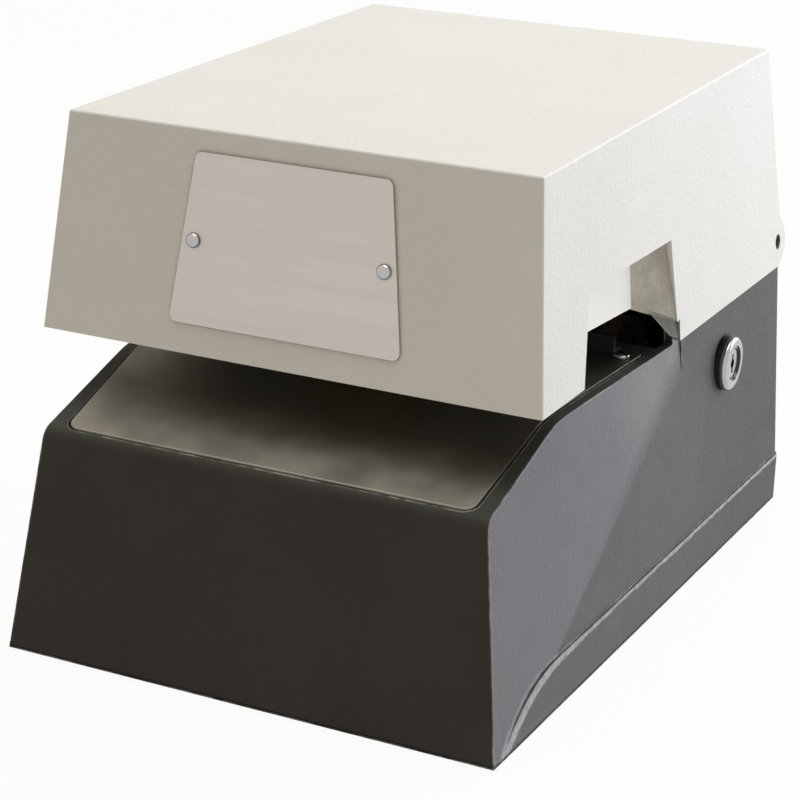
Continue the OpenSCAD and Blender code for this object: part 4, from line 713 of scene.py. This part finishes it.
# Materials
def newMaterial(name):
    material = bpy.data.materials.new(name)
    material.use_nodes = True
    place = material.node_tree.nodes.new("ShaderNodeTexCoord")
    return material, material.node_tree.nodes["Principled BSDF"], place.outputs["Object"]


def feed(socket, value):
    if isinstance(value, bpy.types.NodeSocket):
        socket.id_data.links.new(value, socket)
    else:
        socket.default_value = value


# A node in the tree that a socket belongs to, with its inputs set or linked
def addNode(near, kind, **inputs):
    node = near.id_data.nodes.new("ShaderNode" + kind)
    for name, value in inputs.items():
        feed(node.inputs[name.replace("_", " ")], value)
    return node


def noise(place, scale, detail=4.0, roughness=0.55, distortion=0.0):
    texture = addNode(place, "TexNoise", Vector=place, Scale=scale, Detail=detail, Roughness=roughness,
                      Distortion=distortion)
    return texture.outputs["Fac"]


def spread(value, low, high, outLow=0.0, outHigh=1.0):
    remap = addNode(value, "MapRange", Value=value, From_Min=low, From_Max=high, To_Min=outLow, To_Max=outHigh)
    return remap.outputs["Result"]


def blendColours(factor, first, second):
    mix = addNode(factor, "Mix")
    mix.data_type = "RGBA"
    feed(mix.inputs["Factor"], factor)
    for socket, colour in ((mix.inputs[6], first), (mix.inputs[7], second)):
        feed(socket, colour if isinstance(colour, bpy.types.NodeSocket) else (*colour, 1))
    return mix.outputs[2]


def combineValues(first, second, operation="ADD"):
    node = addNode(first if isinstance(first, bpy.types.NodeSocket) else second, "Math")
    node.operation = operation
    feed(node.inputs[0], first)
    feed(node.inputs[1], second)
    return node.outputs[0]


def product(first, *others):
    for other in others:
        first = combineValues(first, other, "MULTIPLY")
    return first


def distance(across, up):
    squares = [combineValues(value, 2.0, "POWER") for value in (across, up)]
    return combineValues(combineValues(*squares), 0.5, "POWER")


def component(vector, axis):
    return addNode(vector, "SeparateXYZ", Vector=vector).outputs[axis]


def bump(shader, height, depth, strength):
    node = addNode(height, "Bump", Height=height, Distance=depth, Strength=strength)
    feed(shader.inputs["Normal"], node.outputs["Normal"])


# Roughness that wavers round a middle value
def roughen(shader, value, middle, down, up):
    feed(shader.inputs["Roughness"], spread(value, 0.3, 0.7, middle - down, middle + up))


# How sharply the surface turns within a radius in metres: 0 on flats, 1 along edges
def wornEdges(place, radius):
    rounded = addNode(place, "Bevel", Radius=radius)
    rounded.samples = 6
    turn = addNode(place, "VectorMath")
    turn.operation = "DOT_PRODUCT"
    feed(turn.inputs[0], rounded.outputs["Normal"])
    feed(turn.inputs[1], addNode(place, "NewGeometry").outputs["Normal"])
    return spread(combineValues(1.0, turn.outputs["Value"], "SUBTRACT"), 0.015, 0.12)


# How far a point lies in a crevice, from 0 in the open to 1, to paint shade into crevices
def creviceShade(place, reach=0.0016):
    shade = addNode(place, "AmbientOcclusion", Distance=reach)
    shade.samples = 6
    return spread(shade.outputs["AO"], 0.93, 0.5)


# Distance in metres from a line across the machine through a point of the drawing
def fromAxis(place, y, z):
    centre = pt(0, y, z)
    across = combineValues(component(place, "Y"), -centre.y)
    return distance(across, combineValues(component(place, "Z"), -centre.z))


# How far the surface faces a direction of the piece, and where a point lies on it
def facing(place, axis, low, high):
    value = component(place.node.outputs["Normal"], axis.strip("-|"))
    if axis.startswith("|"):
        value = combineValues(value, 0.0, "ABSOLUTE")
    if axis.startswith("-"):
        value = product(value, -1.0)
    return spread(value, low, high)


def along(place, axis, low, high):
    return spread(component(place, axis), low, high)


paints = {
    "base_paint": {
        "name": "darkTexturedPaint", "colour": (0.042, 0.037, 0.032), "light": (0.05, 0.0445, 0.039),
        "roughness": 0.5, "specular": 0.12, "grain": 800, "depth": 0.0003, "worn": (0.5, 0.49, 0.47),
        "wearRadius": 0.0011, "paintedShade": (0.012, 0.011, 0.01),
        "lightAndShade": {"side": (0.137, 0.132, 0.135), "rear": (0.105, 0.101, 0.1), "flare": (0.205, 0.198, 0.218),
                 "top": (0.07, 0.068, 0.057), "ledge": (0.5, 0.49, 0.51), "flareEnd": (0.3, 0.295, 0.295),
                 "corner": (0.36, 0.355, 0.34), "foot": (0.006, 0.006, 0.006)}},
    "cover_paint": {
        "name": "paleTexturedPaint", "colour": (0.80, 0.785, 0.745), "light": (0.825, 0.81, 0.775),
        "roughness": 0.55, "specular": 0.4, "grain": 650, "depth": 0.0003, "worn": (0.86, 0.85, 0.83),
        "wearRadius": 0.0008, "paintedShade": (0.3, 0.28, 0.24), "flapShade": (0.42, 0.4, 0.34),
        "tabShade": (0.22, 0.22, 0.215)},
    "frame_paint": {
        "name": "machineEnamel", "colour": (0.045, 0.05, 0.055), "light": (0.06, 0.066, 0.072),
        "roughness": 0.45, "specular": 0.4, "grain": 700, "depth": 0.0001, "worn": (0.2, 0.2, 0.2),
        "wearRadius": 0.0006, "paintedShade": (0.015, 0.015, 0.015)},
}


# Height above the skirt's upper edge, which curves down to the front corners, in metres
def aboveSkirt(place):
    radius = base["skirtCurve"] / 1000
    start = pt(0, base["skirtStart"], base["skirt"])
    back = combineValues(combineValues(component(place, "Y"), -start.y), 0.0, "MINIMUM")
    up = combineValues(component(place, "Z"), radius - start.z)
    return combineValues(distance(back, up), -radius)


# Painted light and shade on the base: painted sheen on walls and flares, painted light on upward faces, painted
# highlights along the skirt's edge, the flares' top ends and the corners, painted shade along the foot
def paintedLightAndShade(place, colour, lightAndShade):
    blotches = spread(noise(place, 70, 5, 0.6), 0.25, 0.6, 0.8, 1.0)
    specks = spread(noise(place, 420, 3, 0.6), 0.35, 0.6, 0.45, 1.0)
    # painted sheen: the side walls are drawn lighter, a little less so towards the rear
    onSides = product(facing(place, "|X", 0.75, 0.95), blotches)
    wall = blendColours(along(place, "Y", 0.02, 0.1), lightAndShade["side"], lightAndShade["rear"])
    colour = blendColours(onSides, colour, wall)
    # painted light on the flares, which face a little forwards, and a painted highlight at their top ends
    onFlares = product(onSides, facing(place, "-Y", 0.012, 0.03))
    flareEndHighlight = product(along(place, "Y", -0.035, 0.02), along(place, "Z", 0.05, 0.085))
    colour = blendColours(onFlares, colour, blendColours(flareEndHighlight, lightAndShade["flare"], lightAndShade["flareEnd"]))
    # painted light on the upward faces
    colour = blendColours(product(facing(place, "Z", 0.5, 0.9), blotches), colour, lightAndShade["top"])
    # painted highlight, in specks, along the skirt's upper edge
    height = combineValues(aboveSkirt(place),
                           spread(noise(place, 120, 3), 0.3, 0.7, -0.0004, 0.0004))
    # the painted highlight along the skirt's upper edge is broad at the front and thin behind
    reach = spread(along(place, "Y", -0.11, -0.06), 0, 1, 0.0045, 0.0015)
    share = combineValues(product(height, -1.0), reach, "DIVIDE")
    ledgeHighlight = product(spread(share, -0.5, 0.0), spread(share, 1.0, 0.7),
                   specks, facing(place, "|X", 0.75, 0.95))
    colour = blendColours(ledgeHighlight, colour, lightAndShade["ledge"])
    # painted highlight, in specks, on the rounded front corners and upper edges
    front = product(facing(place, "|X", 0.15, 0.35), facing(place, "-Y", 0.15, 0.35))
    upper = product(facing(place, "|X", 0.3, 0.5), facing(place, "Z", 0.3, 0.5))
    corner = product(combineValues(front, upper, "MAXIMUM"), specks)
    colour = blendColours(corner, colour, lightAndShade["corner"])
    # painted shade along the foot
    return blendColours(along(place, "Z", 0.0033, 0.0027), colour, lightAndShade["foot"])


# Painted shade on the rear flap of each pocket, darkest where it turns under
def paintedPocketShade(place, colour, values):
    blotches = spread(noise(place, 110, 5, 0.6), 0.3, 0.6, 0.55, 1.0)
    flap = product(facing(place, "|X", 0.3, 0.5), facing(place, "-Y", 0.25, 0.4),
                   along(place, "Y", -0.05, -0.045), blotches)
    colour = blendColours(flap, colour, values["flapShade"])
    # the tab lies below the flap's slanting lower edge and gets a deeper painted shade
    corner = pt(0, cover["notch"][1] - cover["pocketBack"], cover["z"])
    slant = cover["pocketLip"] / (cover["notch"][1] - cover["pocketBack"] - cover["pocketY"])
    drop = combineValues(product(component(place, "Y"), slant), component(place, "Z"))
    edge = corner.y * slant + corner.z
    under = product(spread(drop, edge + 0.0007, edge + 0.0003),
                    facing(place, "-Y", 0.2, 0.4), along(place, "Y", -0.006, -0.004))
    colour = blendColours(under, colour, values["tabShade"])
    # the hole of the hinge pin is painted dark inside as shade
    hole = spread(fromAxis(place, *base["hinge"]), 0.00285, 0.0027)
    return blendColours(hole, colour, paints["base_paint"]["paintedShade"])


def texturedPaint(values):
    material, shader, place = newMaterial(values["name"])
    patches = spread(noise(place, 30, 5), 0.35, 0.65)
    grain = noise(place, values["grain"], 2, 0.5, 0.3)
    colour = blendColours(patches, values["colour"], values["light"])
    if "lightAndShade" in values:
        colour = paintedLightAndShade(place, colour, values["lightAndShade"])
    if "flapShade" in values:
        colour = paintedPocketShade(place, colour, values)
    wear = product(spread(noise(place, 260, 3), 0.3, 0.55),
                   spread(noise(place, 45, 3), 0.42, 0.58, 0.25, 1.0),
                   wornEdges(place, values["wearRadius"]))
    colour = blendColours(wear, colour, values["worn"])
    # painted shade in crevices and along the lines where parts meet
    colour = blendColours(creviceShade(place), colour, values["paintedShade"])
    feed(shader.inputs["Base Color"], colour)
    shader.inputs["Specular IOR Level"].default_value = values["specular"]
    roughen(shader, grain, values["roughness"], 0.08, 0.1)
    bump(shader, grain, values["depth"], 0.6)
    return material


metals = {
    "plate_steel": {"name": "throatSteel", "colour": (0.32, 0.305, 0.262), "dark": (0.26, 0.247, 0.21),
                    "roughness": 0.44, "brush": (60, 6, 60), "shadowedColour": (0.14, 0.125, 0.105),
                    "shadowFromTo": (26, 38)},
    "nameplate_metal": {"name": "nameplateSheetMetal", "colour": (0.575, 0.53, 0.495),
                        "dark": (0.53, 0.485, 0.455), "roughness": 0.45, "brush": (8, 300, 300)},
    "zinc_steel": {"name": "zincSteel", "colour": (0.5, 0.51, 0.52), "dark": (0.4, 0.41, 0.43),
                   "roughness": 0.42, "brush": (90, 90, 90)},
    "ground_steel": {"name": "groundSteel", "colour": (0.56, 0.56, 0.57), "dark": (0.47, 0.47, 0.48),
                     "roughness": 0.25, "brush": (40, 700, 700)},
    "stack_steel": {"name": "laminatedSteel", "colour": (0.22, 0.225, 0.24), "dark": (0.1, 0.1, 0.11),
                    "roughness": 0.5, "brush": (2200, 20, 20)},
    "cast_aluminium": {"name": "castAluminium", "colour": (0.5, 0.51, 0.52), "dark": (0.4, 0.4, 0.42),
                       "roughness": 0.5, "brush": (260, 260, 260)},
    "die_brass": {"name": "dieBrass", "colour": (0.62, 0.44, 0.17), "dark": (0.45, 0.3, 0.1),
                  "roughness": 0.32, "brush": (150, 150, 150)},
    "bronze": {"name": "sinteredBronze", "colour": (0.42, 0.24, 0.09), "dark": (0.28, 0.15, 0.06),
               "roughness": 0.5, "brush": (500, 500, 500)},
    "blade_brass": {"name": "platedBrass", "colour": (0.62, 0.58, 0.45), "dark": (0.5, 0.46, 0.35),
                    "roughness": 0.28, "brush": (300, 40, 300)},
    "bright_steel": {"name": "polishedChrome", "colour": (0.56, 0.56, 0.57), "dark": (0.42, 0.42, 0.44),
                     "roughness": 0.16, "brush": (60, 60, 60), "paintedShade": (0.02, 0.02, 0.02)},
    "black_steel": {"name": "blackOxide", "colour": (0.03, 0.03, 0.032), "dark": (0.02, 0.02, 0.022),
                    "roughness": 0.42, "brush": (300, 300, 300), "metallic": 0.6},
}


def brushedMetal(values):
    material, shader, place = newMaterial(values["name"])
    mapping = addNode(place, "Mapping", Vector=place, Scale=values["brush"])
    streaks = noise(mapping.outputs["Vector"], 1.0, 6, 0.6)
    stains = noise(place, 45, 4, 0.6)
    mixed = product(streaks, stains)
    colour = blendColours(spread(mixed, 0.15, 0.38), values["dark"], values["colour"])
    if "shadowFromTo" in values:
        # painted shadow of the cover: the plate is drawn darker behind the lit front strip
        near, distant = (pt(0, y, 0).y for y in values["shadowFromTo"])
        behind = product(along(place, "Y", near, distant), spread(stains, 0.3, 0.7, 0.8, 1.0))
        colour = blendColours(behind, colour, values["shadowedColour"])
    # painted shade in crevices
    if "paintedShade" in values:
        colour = blendColours(creviceShade(place, 0.003), colour, values["paintedShade"])
    feed(shader.inputs["Base Color"], colour)
    shader.inputs["Metallic"].default_value = values.get("metallic", 1.0)
    roughen(shader, stains, values["roughness"], 0.06, 0.1)
    bump(shader, streaks, 0.00003, 0.5)
    return material


plastics = {
    "black_rubber": {"name": "mattRubber", "colour": (0.018, 0.018, 0.018), "light": (0.03, 0.03, 0.03),
                     "roughness": 0.75, "grain": 1500},
    "black_plastic": {"name": "blackPlastic", "colour": (0.016, 0.016, 0.017), "light": (0.024, 0.024, 0.025),
                      "roughness": 0.45, "grain": 2500},
    "red_plastic": {"name": "redPlastic", "colour": (0.42, 0.015, 0.012), "light": (0.48, 0.022, 0.018),
                    "roughness": 0.25, "grain": 600},
    "board_green": {"name": "boardLacquer", "colour": (0.012, 0.11, 0.035), "light": (0.02, 0.16, 0.05),
                    "roughness": 0.35, "grain": 180},
    "relay_blue": {"name": "relayPlastic", "colour": (0.012, 0.05, 0.19), "light": (0.018, 0.065, 0.22),
                   "roughness": 0.35, "grain": 900},
    "capacitor_sleeve": {"name": "sleevePlastic", "colour": (0.015, 0.018, 0.032),
                         "light": (0.02, 0.026, 0.045), "roughness": 0.22, "grain": 500},
    "gear_fibre": {"name": "gearPlastic", "colour": (0.16, 0.1, 0.05), "light": (0.2, 0.13, 0.07),
                   "roughness": 0.5, "grain": 1200},
}


def mouldedPlastic(values):
    material, shader, place = newMaterial(values["name"])
    patches = spread(noise(place, 60, 4), 0.35, 0.65)
    grain = noise(place, values["grain"], 3)
    colour = blendColours(patches, values["colour"], values["light"])
    feed(shader.inputs["Base Color"], colour)
    roughen(shader, grain, values["roughness"], 0.06, 0.08)
    bump(shader, grain, 0.00004, 0.5)
    return material


winding = {"colour": (0.24, 0.07, 0.02), "light": (0.38, 0.13, 0.04), "roughness": 0.35, "rows": 420}


# Enamelled wire laid in rows round the stator's legs
def windingMaterial():
    material, shader, place = newMaterial("enamelledWire")
    wave = addNode(place, "TexWave", Vector=place, Scale=winding["rows"], Distortion=1.2)
    wave.bands_direction = "Z"
    colour = blendColours(wave.outputs["Fac"], winding["colour"], winding["light"])
    feed(shader.inputs["Base Color"], colour)
    shader.inputs["Roughness"].default_value = winding["roughness"]
    bump(shader, wave.outputs["Fac"], 0.0003, 0.8)
    return material


# One finish for each slot that the record names
finishes = {"coil_copper": windingMaterial()}
for family, makeFinish in ((paints, texturedPaint), (metals, brushedMetal), (plastics, mouldedPlastic)):
    for slotName, values in family.items():
        finishes[slotName] = makeFinish(values)


def paintWith(obj, material):
    obj.data.materials.clear()
    obj.data.materials.append(material)


# Every carried-over part gets the finish that its slot in the record names
for part in frame["record"]["subparts"]:
    paintWith(nodes[part["node"]], finishes[part["material_slot"]])

for piece, body, stoodFor, slotName in (
        (baseHousing, "base", "base_housing", "base_paint"),
        (coverShell, "cover", "cover_shell", "cover_paint"),
        (nameplateSheet, "cover", "nameplate", "nameplate_metal"),
        (rivets[0], "cover", "nameplate_rivets", "bright_steel"),
        (rivets[1], "cover", "nameplate_rivets", "bright_steel"),
        (throatSheet, "base", "throat_plate", "plate_steel"),
        (throatScrews[0], "base", "throat_plate_screws", "bright_steel"),
        (throatScrews[1], "base", "throat_plate_screws", "bright_steel"),
        (lockCollar, "base", "lock_body", "bright_steel"),
        (lockShadowRing, "base", "lock_body", "black_steel"),
        (lockCore, "lock", "lock_plug", "bright_steel")):
    paintWith(piece, finishes[slotName])
    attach(piece, body)
    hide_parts(stoodFor)
paintWith(springWire, finishes["zinc_steel"])
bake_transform(springWire)
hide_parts("return_spring")
print("materials assigned")


# Floor, light and camera
studio = {
    "floorSize": 12, "floorColour": (0.8, 0.755, 0.64), "glow": 0.95,
    "world": 0.27, "worldColour": (1.0, 0.965, 0.88), "aim": (0, 0, 0.08),
    "overhead": {"place": (0.1, 0.1, 1.8), "size": 1.4, "energy": 19.5, "colour": (1.0, 0.985, 0.96)},
    "side": {"place": (0.95, 1.45, 0.5), "size": 1.1, "energy": 25.5, "colour": (0.8, 0.86, 1.0)},
}
cameraValues = {
    "place": (0.34161, -0.73124, 0.34036), "azimuth": 27, "elevation": 19.02, "roll": 1.416, "lens": 112.63,
    "sensor": 36, "shift": (0.06368, -0.00119),
}


# 1 for rays from the camera, in reflections and through glass, 0 for the light that surfaces give back
def seenDirectly(near):
    path = addNode(near, "LightPath").outputs
    seen = combineValues(path["Is Camera Ray"], path["Is Glossy Ray"], "MAXIMUM")
    return combineValues(seen, path["Is Transmission Ray"], "MAXIMUM")


def studioWhite(name, colour, glow):
    material, shader, place = newMaterial(name)
    shader.inputs["Base Color"].default_value = (*colour, 1)
    shader.inputs["Roughness"].default_value = 0.9
    mix = addNode(place, "MixShader", Fac=product(seenDirectly(place), glow))
    feed(mix.inputs[1], shader.outputs["BSDF"])
    feed(mix.inputs[2], addNode(place, "Emission").outputs["Emission"])
    feed(material.node_tree.nodes["Material Output"].inputs["Surface"], mix.outputs["Shader"])
    return material


clearSelection()
bpy.ops.mesh.primitive_plane_add(size=studio["floorSize"], location=(0, 0, 0))
floor = bpy.context.object
floor.name = "studioFloor"
paintWith(floor, studioWhite("studioFloorWhite", studio["floorColour"], studio["glow"]))


def makeWorld():
    world = bpy.data.worlds.new("studioWorld")
    world.use_nodes = True
    background = world.node_tree.nodes["Background"]
    background.inputs["Color"].default_value = (*studio["worldColour"], 1)
    strength = background.inputs["Strength"]
    feed(strength, spread(seenDirectly(strength), 0, 1, studio["world"], 1.0))
    bpy.context.scene.world = world


def makeLamp(name):
    values = studio[name]
    clearSelection()
    bpy.ops.object.light_add(type="AREA", location=values["place"])
    lamp = bpy.context.object
    lamp.name = name + "Lamp"
    lamp.data.shape = "SQUARE"
    lamp.data.size = values["size"]
    lamp.data.energy = values["energy"]
    lamp.data.color = values["colour"]
    lamp.rotation_euler = (Vector(studio["aim"]) - lamp.location).to_track_quat("-Z", "Y").to_euler()


makeWorld()
makeLamp("overhead")
makeLamp("side")


def makeCamera():
    v = cameraValues
    az, el, roll = (math.radians(v[k]) for k in ("azimuth", "elevation", "roll"))
    back = Vector((math.sin(az) * math.cos(el), -math.cos(az) * math.cos(el), math.sin(el)))
    right = Vector((math.cos(az), math.sin(az), 0))
    up = back.cross(right)
    across = right * math.cos(roll) + up * math.sin(roll)
    upward = up * math.cos(roll) - right * math.sin(roll)
    clearSelection()
    bpy.ops.object.camera_add()
    camera = bpy.context.object
    camera.name = "studioCamera"
    camera.matrix_world = Matrix((across, upward, back)).transposed().to_4x4()
    camera.location = v["place"]
    camera.data.lens = v["lens"]
    camera.data.sensor_width = v["sensor"]
    camera.data.shift_x, camera.data.shift_y = v["shift"]
    bpy.context.scene.camera = camera


makeCamera()
bpy.context.scene.view_settings.view_transform = "Standard"
print("studio ready")
